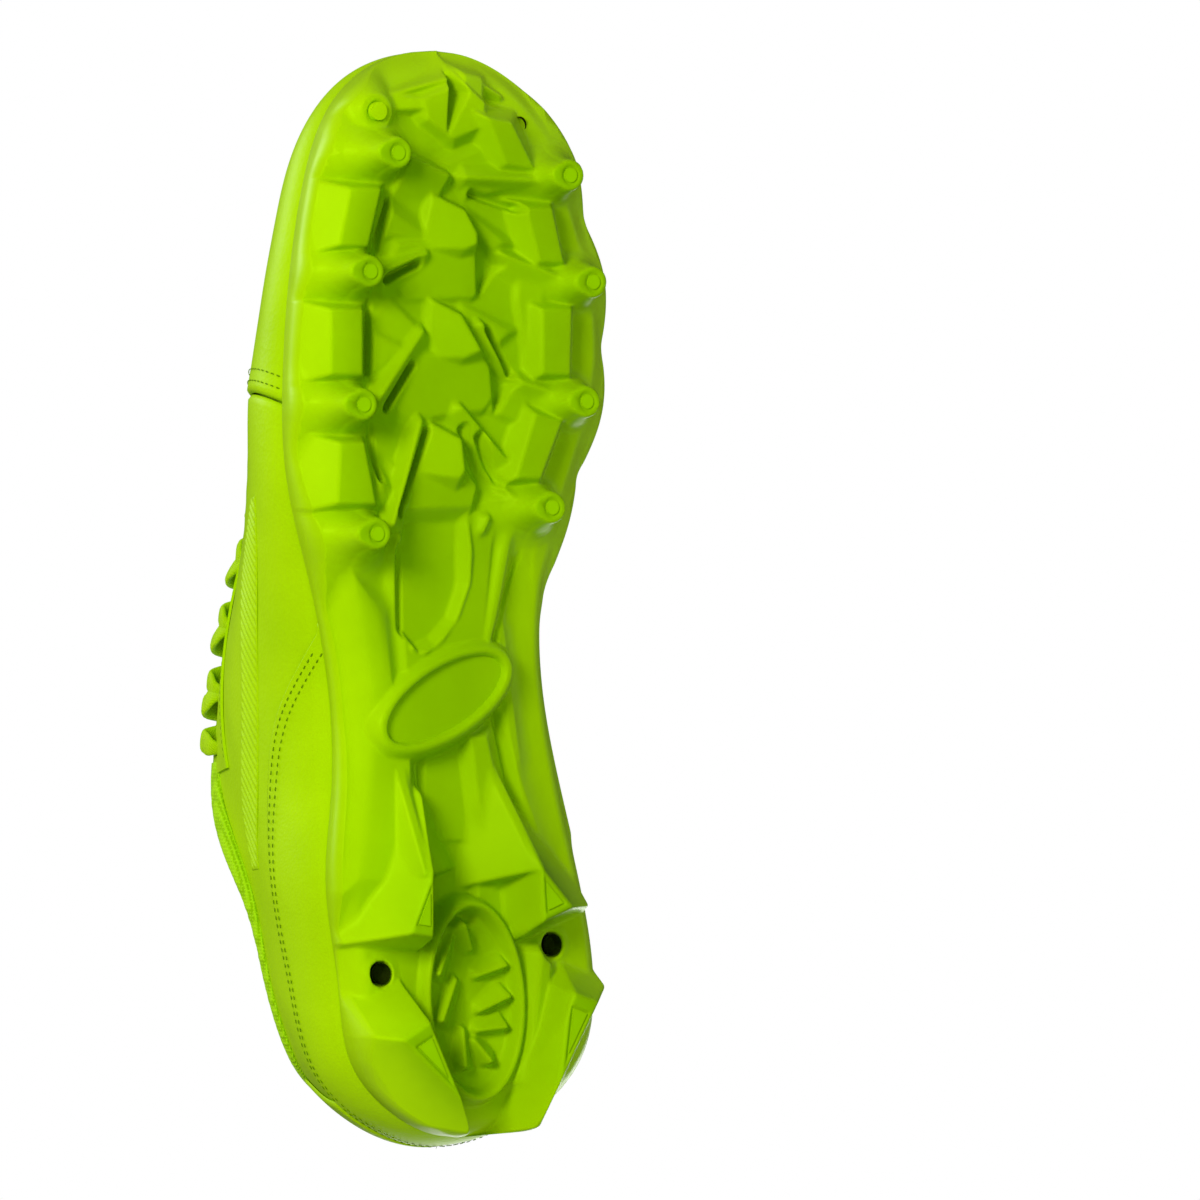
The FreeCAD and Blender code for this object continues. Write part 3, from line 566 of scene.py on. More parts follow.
# ---------------------------------------------------------------- sole: a relief seen from below
STUDS = [(114, -18.5), (83.5, -26.7), (49.5, -28.7), (16.5, -24.7),
         (109.5, 33.3), (82, 40.3), (51, 38.3), (23.5, 27.8)]
HEEL_TIPS = [
    [(-70, -7.8), (-86, -14.8), (-87, -7.8)],
    [(-69, 24.2), (-80, 34.2), (-83.5, 25.2)],
    [(-113, -16.8), (-129, 0.7), (-108.5, -8.8)],
    [(-101.5, 33.2), (-104.5, 41.7), (-125, 30.2)],
]
TIP_SHARE = 0.49         # size of a blade's insert beside its triangular top
HEEL_HOLES = [(-96.5, -16), (-90, 35.7)]
BADGE = (-26, 1.6)
BADGE_TURN = math.radians(90 - 27.6)
WINDOW = (-104, 11)


def soft_min(a, b, radius):
    """The lower of two reliefs, with a fillet where they meet."""
    mix = np.clip(0.5 + 0.5 * (b - a) / radius, 0, 1)
    return b * (1 - mix) + a * mix - radius * mix * (1 - mix)


def soft_max(a, b, radius):
    return -soft_min(-a, -b, radius)


def segment(x, y, start, end):
    """Distance along a line, signed distance from it (left is positive) and the line's length."""
    dx, dy = end[0] - start[0], end[1] - start[1]
    length = math.hypot(dx, dy)
    along = ((x - start[0]) * dx + (y - start[1]) * dy) / length
    aside = ((y - start[1]) * dx - (x - start[0]) * dy) / length
    return along, aside, length


def block(x, y, outline, tops, slopes):
    """Faceted block: its top has given heights at the first, second and last corner; its sides slope."""
    (ax, ay), (bx, by), (cx, cy) = outline[0], outline[1], outline[-1]
    det = (bx - ax) * (cy - ay) - (cx - ax) * (by - ay)
    gx = ((tops[1] - tops[0]) * (cy - ay) - (tops[2] - tops[0]) * (by - ay)) / det
    gy = ((tops[2] - tops[0]) * (bx - ax) - (tops[1] - tops[0]) * (cx - ax)) / det
    area = sum(p[0] * q[1] - q[0] * p[1] for p, q in zip(outline, outline[1:] + outline[:1]))
    turn = 1 if area > 0 else -1
    rise = np.zeros_like(x)
    for k, slope in enumerate(slopes):
        aside = segment(x, y, outline[k], outline[(k + 1) % len(outline)])[1]
        rise = np.maximum(rise, -turn * aside * slope)
    return tops[0] + gx * (x - ax) + gy * (y - ay) + rise


def crest(x, y, start, end, top_start, top_end, left, right, width=0.7, ends=1.5):
    """Rib with a narrow crest; left and right are the slopes of its sides."""
    along, aside, length = segment(x, y, start, end)
    share = np.clip(along / length, 0, 1)
    beyond = np.maximum(np.maximum(-along, along - length), 0)
    side = np.where(aside > 0, (np.abs(aside) - width / 2) * left, (np.abs(aside) - width / 2) * right)
    return top_start + (top_end - top_start) * share + np.maximum(side, 0) + beyond * ends


def horn(x, y, stud_x, stud_y):
    """Round stud, drawn out towards the lateral side into a long flaring root."""
    a = stud_y - y
    b = x - stud_x
    drawn = 0.52 if stud_y < 0 else 0.45
    past = np.maximum(a - 2.2, 0)
    near = np.hypot(a - past * drawn, b * (1 - 0.012 * np.minimum(past, 16)))
    return np.interp(near, [0, 3.75, 4.05, 4.6, 5.4, 6.6, 8.3, 10.6, 13.5, 18, 24, 40],
                     [0, 0, 0.4, 3.4, 6.2, 8.6, 10.6, 12.4, 14.0, 16.5, 21, 32])


def outside_oval(x, y, centre, semi_x, semi_y, turn):
    """Distance in mm outside an oval's rim, negative inside."""
    dx, dy = x - centre[0], y - centre[1]
    a = dx * math.cos(turn) + dy * math.sin(turn)
    b = -dx * math.sin(turn) + dy * math.cos(turn)
    share = np.hypot(a / semi_x, b / semi_y)
    steep = np.hypot(a / semi_x**2, b / semi_y**2) / np.maximum(share, 1e-6)
    return (share - 1) / np.maximum(steep, 1e-6)


def forefoot(x, y, z):
    """Traction blocks, fins and faceted pads."""
    steps = [
        [(91, -13), (92, 9), (84, 15), (78, 10), (77, -10), (83, -16)],
        [(63, -17), (62, 12), (56, 18), (49, 13), (46, -9), (54, -20)],
        [(33, -13), (33, 7), (27, 12), (21, 8), (21, -6), (28, -14)],
    ]
    for outline in steps:
        z = soft_min(z, block(x, y, outline, (9.0, 8.3, 9.6), (0.9, 3.0, 3.0, 0.9, 0.7, 0.7)), 0.5)
    facets = [
        ([(100, -17), (93, -4), (93, -17)], (8.6, 9.6, 9.6), (0.6, 0.8, 0.5)),
        ([(77, -15), (68, -6), (64, -20), (70, -22)], (10.3, 9.0, 10.6), (0.8, 0.5, 0.8, 2)),
        ([(68, -21), (64, -12), (57, -22)], (9.3, 8.2, 9.6), (0.7, 0.8, 1.5)),
        ([(30, -20), (27, -14), (23, -20)], (7.2, 8.4, 8.6), (1.0, 1.0, 1.5)),
        ([(100, 8), (92, 18), (88, 11)], (10.0, 8.6, 9.6), (0.8, 0.8, 1.0)),
        ([(76, 6), (69, 20), (62, 12)], (10.0, 8.8, 9.6), (0.8, 0.8, 1.0)),
        ([(112, 2), (104, 9), (106, 22), (116, 12)], (9.4, 8.8, 9.6), (1.0, 2.5, 1.0, 0.7)),
        ([(90, 20), (76, 23), (62, 22), (74, 30), (88, 29)], (9.8, 9.4, 8.4), (1.5, 1.0, 0.6, 0.6, 0.6)),
        ([(56, 24), (45, 27), (50, 10), (56, 19)], (8.8, 8.8, 9.2), (1.0, 1.0, 1.0, 1.0)),
    ]
    for outline, tops, slopes in facets:
        z = soft_min(z, block(x, y, outline, tops, slopes), 0.5)
    pads = [
        ([(104, -3), (100, 5), (92, 9), (90, 5), (90, -4), (94, -5)], (8.4, 5.6, 9.0)),
        ([(77, -3.5), (73, 4), (64, 9), (62, 5), (62, -1.5), (68, -3.5)], (8.4, 5.6, 9.0)),
        ([(45, -3), (41, 4), (33, 4.5), (31, 3), (32.5, -8), (38, -7)], (8.4, 5.6, 9.2)),
    ]
    for outline, tops in pads:
        z = soft_min(z, block(x, y, outline, tops, (3.2, 2.6, 1.6, 1.4, 1.1, 1.1)), 0.35)
    fins = [
        ((113, -11), (109, 1), 5.6, 7.0, 0.5, 2.6), ((84, -20), (89, -5.5), 4.8, 7.0, 0.75, 3.2),
        ((50.5, -22), (69, -7), 4.8, 7.0, 0.6, 3.2), ((19, -17), (46, -7.5), 5.0, 7.0, 0.9, 3.2),
        ((16, -13), (11, -13.5), 8.4, 10.4, 2.0, 1.0), ((30, -19), (24, -17.5), 7.0, 8.8, 1.2, 1.4),
        ((108, 27), (108.5, 5.5), 4.8, 6.4, 0.9, 1.5), ((83, 34), (89, 17), 5.2, 7.8, 1.6, 0.75),
        ((53, 33), (57, 19), 5.4, 7.6, 1.2, 0.9), ((71, 11), (58, 19), 7.0, 8.6, 1.2, 2.8),
        ((49.5, 4.5), (34, 21), 6.8, 8.4, 0.9, 2.8), ((25, 22), (30, 13), 6.0, 8.0, 1.2, 1.2),
        ((21, 14), (17, 12.5), 8.6, 9.6, 1.2, 1.2),
    ]
    for start, end, top_start, top_end, left, right in fins:
        z = soft_min(z, crest(x, y, start, end, top_start, top_end, left, right), 0.6)
    side = [
        ([(105, -29.5), (105, -20.5), (90, -24.5), (90, -33)], (3.0, 1.7, 3.0, 1.1)),
        ([(74, -35.5), (74, -26), (57, -26), (57, -35.5)], (3.0, 1.6, 3.0, 1.1)),
        ([(40, -32.5), (40, -25.5), (24, -22), (24, -33.5)], (3.0, 1.8, 3.0, 1.0)),
        ([(101, 23), (101, 31), (87, 34.5), (87, 27)], (2.0, 1.7, 2.0, 1.6)),
        ([(75, 28), (75, 37), (58, 36.5), (58, 28)], (2.0, 1.7, 2.0, 1.6)),
        ([(48, 26), (46, 34), (31, 27.5), (31, 20)], (2.0, 1.7, 2.0, 1.6)),
        ([(124, 11.5), (123, 18.5), (111, 25.5), (112, 17)], (2.0, 1.2, 2.0, 1.6)),
    ]
    for outline, slopes in side:
        z = soft_min(z, block(x, y, outline, (5.3, 5.3, 5.3), slopes), 0.4)
    return z


def grooves(x, y, z):
    """Dark undercut lines beside the lateral blocks and fins, and notches behind the pads."""
    lines = [((102, -16), (88, -19.5)), ((76, -21.3), (58, -22)), ((45, -21), (31, -18.6)),
             ((82, -17.5), (86, -8)), ((49, -17.5), (60, -9.5)), ((22, -13.5), (43, -5)),
             ((104.5, 9), (101, 22)), ((69.5, 13.5), (58, 21)), ((44, 6.5), (29, 13)), ((42, 11), (30, 17))]
    for start, end in lines:
        along, aside, length = segment(x, y, start, end)
        beyond = np.maximum(np.maximum(-along, along - length), 0)
        z = soft_max(z, 13.6 - np.hypot(aside, beyond)**2 * 4.0, 0.3)
    notches = [[(92, 11.5), (86, 17), (80, 12)], [(59, 16), (55.5, 20), (50.5, 17)],
               [(32, 13), (27, 16), (24.5, 11)]]
    for outline in notches:
        z = soft_max(z, 26 - block(x, y, outline, (13, 13, 13), (2.5, 2.5, 2.5)), 0.5)
    return z


def side_panels(x, y, z):
    """Shallow sunk panels on the lateral side wall between the studs."""
    for x0, x1, y0 in ((92.5, 104.5, -41.5), (60, 70.5, -44), (24.5, 33, -41)):
        outline = [(x0, y0), (x1, y0 + (x1 - x0) * 0.1), (x1, y0 - 5), (x0, y0 - 5.5)]
        inside = 26 - block(x, y, outline, (13, 13, 13), (1.5, 1.5, 1.5, 1.5))
        z = z + 1.1 * np.clip((inside - 10.5) / 2.5, 0, 1)
    return z


def toe(x, y, z):
    """Star, wing, chevron and boss under the toe."""
    star = [(133.5, 6.5), (128, 12.5), (121.5, 11.5), (118.5, 3), (123.5, -4), (128.5, -5)]
    z = soft_min(z, block(x, y, star, (9.6, 8.4, 10.2), (2.2, 1.4, 3.2, 3.2, 1.6, 1.6)), 0.5)
    wing = [(129, -4), (126, -3), (125.5, -15), (129.5, -14)]
    z = soft_min(z, block(x, y, wing, (10.6, 9.8, 13.0), (1.2, 2.4, 1.2, 3.5)), 0.6)
    z = soft_min(z, crest(x, y, (129, -15), (134.5, 4), 13.0, 10.8, 0.9, 4.0, 0.8), 0.5)
    z = soft_min(z, block(x, y, [(136, 8), (135, 14), (129, 13), (126.5, 6.5)], (11.2, 12.2, 9.2),
                          (3.0, 1.2, 1.2, 3.2)), 0.4)
    ribs = [((133, 14), (130, 21), 12.2, 14.0, 1.2, 3), ((118.5, 3), (122.5, 12), 8.6, 8.2, 1.0, 2.8),
            ((123.5, -4), (118.5, 3), 9.6, 8.6, 2.4, 0.9), ((128, 13), (125.5, 24), 11.4, 13.5, 1.2, 2.6)]
    for start, end, top_start, top_end, left, right in ribs:
        z = soft_min(z, crest(x, y, start, end, top_start, top_end, left, right), 0.5)
    notch = block(x, y, [(135.5, 4.4), (126, 3.6), (130.5, 6.4)], (17, 17, 17), (5, 5, 5))
    z = soft_max(z, 34 - notch, 0.3)
    r = np.hypot(x - BOSS[0], y - BOSS[1])
    boss = 9.4 + np.maximum(r - 4.6, 0) * 1.3
    z = soft_min(z, boss, 1.5)
    return soft_max(z, np.interp(r, [0, 2.3, 2.8, 9], [10.4, 10.4, 9.0, 0]), 0.2)


def waist(x, y, z):
    """Recessed U, rails and the medallion's rim."""
    z = soft_min(z, block(x, y, [(24, -13), (22, 17), (-11, 13.5), (-21, -9)], (11.2, 11.2, 11.6),
                          (1.5, 0.75, 1.5, 0.7)), 0.8)
    rim = [(19, 8.4), (12, 9.4), (4, 8.8), (-4, 5.6), (-10, 1.0), (-13.5, -4), (-12.5, -7.5)]
    for start, end in zip(rim, rim[1:]):
        z = soft_min(z, crest(x, y, start, end, 10.1, 10.1, 1.2, 1.6, 0.6), 0.4)
    hollow = block(x, y, [(19.5, -9.4), (19.5, 6.5), (4, 6.8), (-5, 3.4), (-10.5, -2), (-12, -6), (-9, -9),
                          (5, -11)], (0, 0, 0), (1.2, 1.6, 1.6, 1.6, 1.6, 2.4, 2.4, 2.4))
    z = soft_max(z, 13.9 - 0.9 * hollow, 0.4)
    z = soft_max(z, 15.2 - crest(x, y, (13, -10.6), (-8, -10.2), 0, 0, 2, 2, 0.5), 0.3)
    z = soft_min(z, block(x, y, [(6, -25), (-4, -16.5), (-27, -13), (-34, -18)], (11.6, 10.8, 11.8),
                          (1.2, 1.3, 0.6, 0.7)), 4.0)
    z = soft_min(z, crest(x, y, (20, 21.5), (-12, 15), 10.2, 11.0, 0.9, 0.9, 1.6), 0.8)
    z = soft_max(z, 15.4 - crest(x, y, (11, 25), (-12, 18), 0, 0, 2, 2, 0.5), 0.3)
    z = soft_min(z, crest(x, y, (20, 30), (-2, 31), 12.0, 17.0, 1.2, 0.7, 1.0, 0.5), 2.5)
    z = soft_min(z, crest(x, y, (-8, 20), (-42, 25), 13.2, 13.4, 1.2, 0.8, 2, 0.4), 2.5)
    z = soft_min(z, block(x, y, [(-38, -8), (-38, -19), (-72, -24), (-72, -6)], (12.2, 12.8, 9.6),
                          (1.0, 0.55, 0.5, 1.6)), 3.5)
    z = soft_min(z, block(x, y, [(-36, 8), (-36, 15), (-62, 22), (-74, 24), (-74, 16), (-54, 13)],
                          (12.4, 11.8, 12.6), (1.0, 0.9, 0.9, 1, 1.6, 1.6)), 1.0)
    z = soft_min(z, crest(x, y, (-30, 19), (-66, 33), 13.6, 13.0, 0.9, 0.5, 1.0, 0.5), 2.0)
    z = soft_max(z, 16.6 - crest(x, y, (-30, 19), (-62, 27), 0, 0, 2, 2, 0.6), 0.3)
    trough = block(x, y, [(-40, -5), (-40, 8.5), (-62, 12), (-84, 12.5), (-84, 1), (-62, -4.5)], (0, 0, 0),
                   (2, 1.4, 1.4, 2, 2, 1.4))
    z = soft_max(z, 15.6 - 0.9 * trough, 0.4)
    pocket = block(x, y, [(-63, -2), (-63, 12.5), (-84, 12.5), (-84, 1)], (0, 0, 0), (4, 3, 4, 3))
    z = soft_max(z, 16.6 - pocket, 0.3)
    z = soft_max(z, 17.2 - crest(x, y, (-38, -2.6), (-66, -2.6), 0, 0, 2, 2, 0.7), 0.3)
    flank = np.clip((8 - x) / 10, 0, 1) * np.clip((x + 76) / 10, 0, 1) * np.clip((-11 - y) / 5, 0, 1)
    z = z * (1 - flank) + blurred(z, 60) * flank
    outside = outside_oval(x, y, BADGE, 20.6, 9.2, BADGE_TURN)
    z = soft_min(z, 9.3 + np.maximum(np.abs(outside) - 0.6, 0)**1.6 * 0.9, 0.5)
    hollow = np.interp(outside, [-40, -1.9, -1.3, -0.6], [12.6, 12.6, 10.4, 0])
    return np.where(outside < -0.6, np.maximum(z, hollow), z)


def heel(x, y, z):
    """Ramped blades, window with radial teeth, and two blind holes."""
    blades = [
        ((1.5, 3.2, 4.5), [(-40, -12), (-46, -22), (-64, -28), (-89, -29), (-90, -4), (-64, 2)]),
        ((1.3, 2.6, 3.5), [(-40, 18), (-46, 34), (-66, 42), (-88, 48), (-88, 22), (-64, 18)]),
        ((1.3, 4.5, 1.3), [(-97, -24), (-118, -22), (-135, -8), (-138, 6), (-118, 4), (-98, -5)]),
        ((1.6, 1.8, 2.0), [(-88, 28), (-96, 50), (-114, 50), (-135, 34), (-139, 18), (-128, 23)]),
    ]
    for outline, (slopes, base) in zip(HEEL_TIPS, blades):
        fall = block(x, y, base, (0, 0, 0), (2.5,) * len(base))
        z = soft_min(z, block(x, y, outline, (0, 0, 0), slopes) + fall, 1.4)
    z = soft_min(z, crest(x, y, (-44, -11), (-71, -9), 12.4, 0.6, 3.5, 1.0, 2.5, 4), 1.6)
    z = soft_min(z, crest(x, y, (-44, 17), (-70, 25), 12.6, 0.8, 1.0, 3.5, 2.5, 4), 1.4)
    z = soft_min(z, crest(x, y, (-92, 32), (-126, 28), 9.5, 8.4, 0.8, 0.9, 3, 1.0), 1.5)
    outside = outside_oval(x, y, WINDOW, 24.6, 13.6, math.radians(-4))
    z = np.where(outside > -1, soft_max(z, 13.4 - np.abs(outside - 1.9) * 5.5, 0.5), z)
    z = soft_min(z, 9.9 + np.maximum(np.abs(outside - 0.5) - 0.5, 0)**1.4 * 2.2, 0.4)
    bowl = np.interp(outside, [-30, -6, -1.6, -0.5, 0], [16.4, 15.8, 14.2, 10.6, 0])
    z = np.where(outside < 0, np.maximum(z, bowl), z)
    teeth = [((-95, 21), (-98, 13)), ((-103, 22), (-107, 14)), ((-111, 21), (-112, 13)),
             ((-120, 16), (-114, 12)), ((-121, 8), (-111, 9)), ((-109, 1), (-98, 7)),
             ((-97, 0), (-86, 6)), ((-84, 8), (-91, 12))]
    for start, end in teeth:
        tooth = crest(x, y, start, end, 10.4, 13.4, 1.1, 3.4, 0.5, 3)
        z = np.where(outside < 0.6, soft_min(z, tooth, 0.3), z)
    for hole_x, hole_y in HEEL_HOLES:
        r = np.hypot(x - hole_x, y - hole_y)
        z = np.where(r < 2.85, 19.0, z + (12.8 - z) * np.clip((5.5 - r) / 2.0, 0, 1))
    return z


def tip_rings(x, y, z):
    """Fine ring round each insert and a triangle groove on each blade."""
    for stud_x, stud_y in STUDS:
        r = np.hypot(x - stud_x, y - stud_y)
        ring = np.interp(r, [0, 1.9, 2.05, 2.25, 2.6], [0.3, 0.3, 0.42, 0.3, 0])
        z = np.where(r < 2.6, np.maximum(z, ring), z)
    for outline in HEEL_TIPS:
        cx = sum(p[0] for p in outline) / 3
        cy = sum(p[1] for p in outline) / 3
        inner = [(cx + (px - cx) * TIP_SHARE, cy + (py - cy) * TIP_SHARE) for px, py in outline]
        d = block(x, y, inner, (0, 0, 0), (1, 1, 1))
        z = np.where(d < 0.7, np.maximum(z, np.interp(d, [0, 0.15, 0.35, 0.7], [0.3, 0.42, 0.35, 0])), z)
    return z


def blurred(z, passes):
    """Softens the edges of a grid; each pass reaches one grid step further."""
    for _ in range(passes):
        for axis in (0, 1):
            place = np.arange(z.shape[axis])
            ahead = np.take(z, np.minimum(place + 1, place[-1]), axis)
            behind = np.take(z, np.maximum(place - 1, 0), axis)
            z = 0.5 * z + 0.25 * (ahead + behind)
    return z


def slices(spacing):
    """Cross lines of the sole: x, lateral y and medial y, from heel tip to toe tip."""
    u = np.linspace(0, LOOP, 8000)
    rim = outline_at(u)[:, :2]
    tail = rim[:, 0].argmin()
    rim = np.roll(rim[:-1], -tail, 0)
    tip = rim[:, 0].argmax()
    lateral, medial = rim[:tip + 1], rim[tip:][::-1]
    count = int((rim[tip, 0] - rim[0, 0]) / spacing)
    share = np.arange(count + 1) / count
    share = share - 0.009 * np.sin(share * math.pi * 2)
    x = rim[0, 0] + 0.02 + (rim[tip, 0] - rim[0, 0] - 0.04) * share
    return x, np.interp(x, lateral[:, 0], lateral[:, 1]), np.interp(x, medial[:, 0], medial[:, 1])


def rim_distance(x, y):
    """Distance in mm from the lip's outline, measured inwards."""
    rim = outline_at(np.linspace(0, LOOP, 900, endpoint=False))[:, :2]
    best = np.full(x.shape, 1e9)
    for k in range(len(rim)):
        a, b = rim[k], rim[(k + 1) % len(rim)]
        step = b - a
        t = np.clip(((x - a[0]) * step[0] + (y - a[1]) * step[1]) / (step @ step), 0, 1)
        best = np.minimum(best, (x - a[0] - t * step[0])**2 + (y - a[1] - t * step[1])**2)
    return np.sqrt(best)


FACES_KEPT = 0.34        # share of the sole's faces left where the surface is plain


def outsole():
    """The moulded sole: its relief from below, its lip and the pocket that takes the upper."""
    spacing = 0.42
    xs, lateral, medial = slices(spacing)
    count = int(95 / spacing)
    t = np.linspace(0, 1, count + 1)
    t = t - 0.06 * np.sin(2 * math.pi * t) / (2 * math.pi) * 2
    x = np.repeat(xs[:, None], count + 1, 1)
    y = lateral[:, None] + (medial - lateral)[:, None] * t[None]
    inside = rim_distance(x, y)
    lip = lip_at(x)
    side = lip - 1.3 - inside / FLARE
    fluting = 0.5 * np.exp(-((y + 21) / 2.2)**2) * np.clip((10 - x) / 15, 0, 1)
    fluting = fluting * np.clip((x + 80) / 15, 0, 1)
    z = soft_max(floor_at(x), side, 3.0) + fluting
    z = np.where((x > 14) & (x < 118) & (y > 30), soft_max(z, lip - 3.2 - inside * 0.9, 1.0), z)
    z = side_panels(x, y, z)
    z = forefoot(x, y, z)
    z = toe(x, y, z)
    z = waist(x, y, z)
    z = grooves(x, y, z)
    z = heel(x, y, z)
    z = blurred(z, 2)
    plain = np.clip((x - 132) / 5, 0, 1)
    z = z * (1 - plain) + blurred(z, 14) * plain
    for stud_x, stud_y in STUDS:
        z = soft_min(z, horn(x, y, stud_x, stud_y), 2.0)
    z = tip_rings(x, y, z)
    z = np.maximum(z, 0)
    bead = np.clip(inside / 0.9, 0, 1)
    z = np.minimum(z, lip - 0.7 - 0.6 * np.sqrt(1 - (1 - bead)**2))
    pocket = np.maximum(floor_at(x) + 3.0, lip - 0.1 - np.maximum(inside - 1.5, 0) / FLARE)
    above = np.where(inside < 1.5, lip - 0.35 * (1 - np.clip(inside / 0.8, 0, 1))**2, pocket)
    above = np.maximum(above, z + 0.6)
    bottom = np.stack([x, y, z], -1)
    top = np.stack([x, y, above], -1)
    vertices, faces = closed_grids(bottom, top)
    obj = piece("outsole", vertices, [f[::-1] for f in faces], TPU, "shoe", "tpu", ["outsole_plate"])
    obj.modifiers.new("thin", "DECIMATE").ratio = FACES_KEPT
    bake_modifiers(obj)


def bake_modifiers(obj):
    """Replaces the mesh by its modified result."""
    graph = bpy.context.evaluated_depsgraph_get()
    mesh = bpy.data.meshes.new_from_object(obj.evaluated_get(graph))
    obj.modifiers.clear()
    obj.data = mesh
    mesh.polygons.foreach_set("use_smooth", [True] * len(mesh.polygons))


def hole_cups():
    """Near-black cups in the blind holes under the heel and at the toe's inner side: painted shade standing
    for the shade deep inside the holes.
    """
    sides = 24
    turns = np.arange(sides) * math.pi / 12
    rings = [(1.0, 0.0), (0.93, 0.3), (0.9, 2.6), (0.7, 3.0), (0.25, 3.1)]
    holes = [(*HEEL_HOLES[0], 2.8, 13.0), (*HEEL_HOLES[1], 2.8, 13.0),
             (123, 25.5, 2.0, 12.6), (119.5, 29.6, 0.9, 13.4)]
    vertices, faces = [], []
    for hole_x, hole_y, radius, mouth in holes:
        start = len(vertices)
        for ring, depth in rings:
            for turn in turns:
                vertices.append((hole_x + radius * ring * math.cos(turn),
                                 hole_y + radius * ring * math.sin(turn), mouth + depth))
        faces += tube_faces(len(rings), sides, start)
        faces.append(tuple(range(len(vertices) - sides, len(vertices))))
    piece("hole_painted_shade_cups", np.array(vertices), faces, HOLE_PAINTED_SHADE, "shoe", "tpu")


outsole()
hole_cups()

# ---------------------------------------------------------------- upper
SEAM = 8.75


def seam(v):
    return SEAM + 0.75 * np.maximum(v, 0)


def soft_skin(u, v, points):
    """Slight unevenness of stretched leather, with shallow creases where the forefoot bends."""
    x, y, z = np.moveaxis(points, -1, 0)
    swell = 0.18 * wavy(x, z * 1.5 + y, 3, 16)
    bend = np.exp(-((x - 38) / 20)**2) * np.clip((z - 45) / 20, 0, 1)
    return swell + 0.22 * bend * np.sin(x * 0.9 + 2 * np.sin(y * 0.12)) - 0.1


def seam_overlap(u, v, points):
    """The vamp's edge is folded, a little thicker beside the seam."""
    near = np.minimum(np.abs(u - seam(v)), np.abs(LOOP - u - seam(v)))
    return soft_skin(u, v, points) + 0.45 * np.exp(-(near / 0.22)**2)


def vamp_place(s, t):
    v = -0.03 + t * 1.03
    front = seam(v) + 0.01
    return front + s * (LOOP - 2 * front), v


def quarter_place(side):
    def place(s, t):
        v = -0.03 + t * 1.03
        return (side * (0.01 + s * (seam(v) - 0.02))) % LOOP, v
    return place


def height_param(u, z):
    """The v at which the wall reaches height z at station u."""
    low, high = np.zeros_like(u), np.ones_like(u)
    for _ in range(26):
        middle = (low + high) / 2
        below = bare_wall(u, middle)[..., 2] < z
        low = np.where(below, middle, low)
        high = np.where(below, high, middle)
    return low


def blend(values, t):
    """Smooth value through evenly spaced key values, t from 0 to 1."""
    place = t * (len(values) - 1)
    k = np.minimum(np.asarray(place).astype(int), len(values) - 2)
    f = place - k
    padded = np.array([2 * values[0] - values[1]] + values + [2 * values[-1] - values[-2]], float)
    a, b, c, d = padded[k], padded[k + 1], padded[k + 2], padded[k + 3]
    return b + 0.5 * f * (c - a + f * (2 * a - 5 * b + 4 * c - d + f * (3 * (b - c) + d - a)))


def ankle_limit(u):
    """Top edge of the heel overlay; u counts from the heel centre."""
    heights = [36, 36.5, 38, 41, 45, 46, 41.5, 22]
    return np.maximum(0.02, height_param(u % LOOP, blend(heights, np.minimum(np.abs(u) / 6.6, 1))))


def overlay_place(s, t):
    u = -6.6 + 13.2 * s
    return u % LOOP, 0.012 + t * (ankle_limit(u) - 0.012)


def tab_place(s, t):
    u = -1.5 + 3.0 * s
    base = ankle_limit(u) + 0.02
    return u % LOOP, base + t * (0.985 - base)


BAND_LOW = [0.69, 0.53, 0.42, 0.36, 0.335, 0.31, 0.285]
BAND_HIGH = [0.80, 0.71, 0.575, 0.495, 0.487, 0.50, 0.36]


def band_place(side):
    def place(s, t):
        low, high = blend(BAND_LOW, s), blend(BAND_HIGH, s)
        return (side * (4.2 + 3.75 * s)) % LOOP, low + t * (high - low)
    return place


def diagonal_ribs(u, v, points):
    """Fine slanting ribs, 1.7 mm apart."""
    x, y, z = np.moveaxis(points, -1, 0)
    across = np.abs(y - 5) * 0.5 + z * 0.85
    phase = (across * 0.8 - x * 0.6) * 2 * math.pi / 1.7
    return soft_skin(u, v, points) + 0.24 * (np.abs(np.sin(phase / 2)) * 2 - 1)


def upper():
    fine = 1
    panel("vamp_skin", vamp_place, 220 // fine, 90 // fine, -1.2, 0.0, LEATHER, "synthetic", ["vamp"],
          seam_overlap, 0.9)
    for side, word in ((1, "lateral"), (-1, "medial")):
        panel(word + "_quarter_skin", quarter_place(side), 190 // fine, 70 // fine, -1.2, 0.0, LEATHER,
              "synthetic", [word + "_quarter"], soft_skin, 0.9)
        panel(word + "_ribs", band_place(side), 420 // fine, 34 // fine, -0.1, 0.22, FILM, "film",
              [word + "_rib_band"], diagonal_ribs, 1.6)
    panel("heel_wrap", overlay_place, 260 // fine, 36 // fine, 0.08, 0.82, OVERLAY, "synthetic",
          ["heel_overlay"], soft_skin, 0.7)
    panel("heel_pull", tab_place, 50 // fine, 40 // fine, 0.1, 1.15, OVERLAY, "synthetic", ["heel_tab"],
          soft_skin, 1.0)


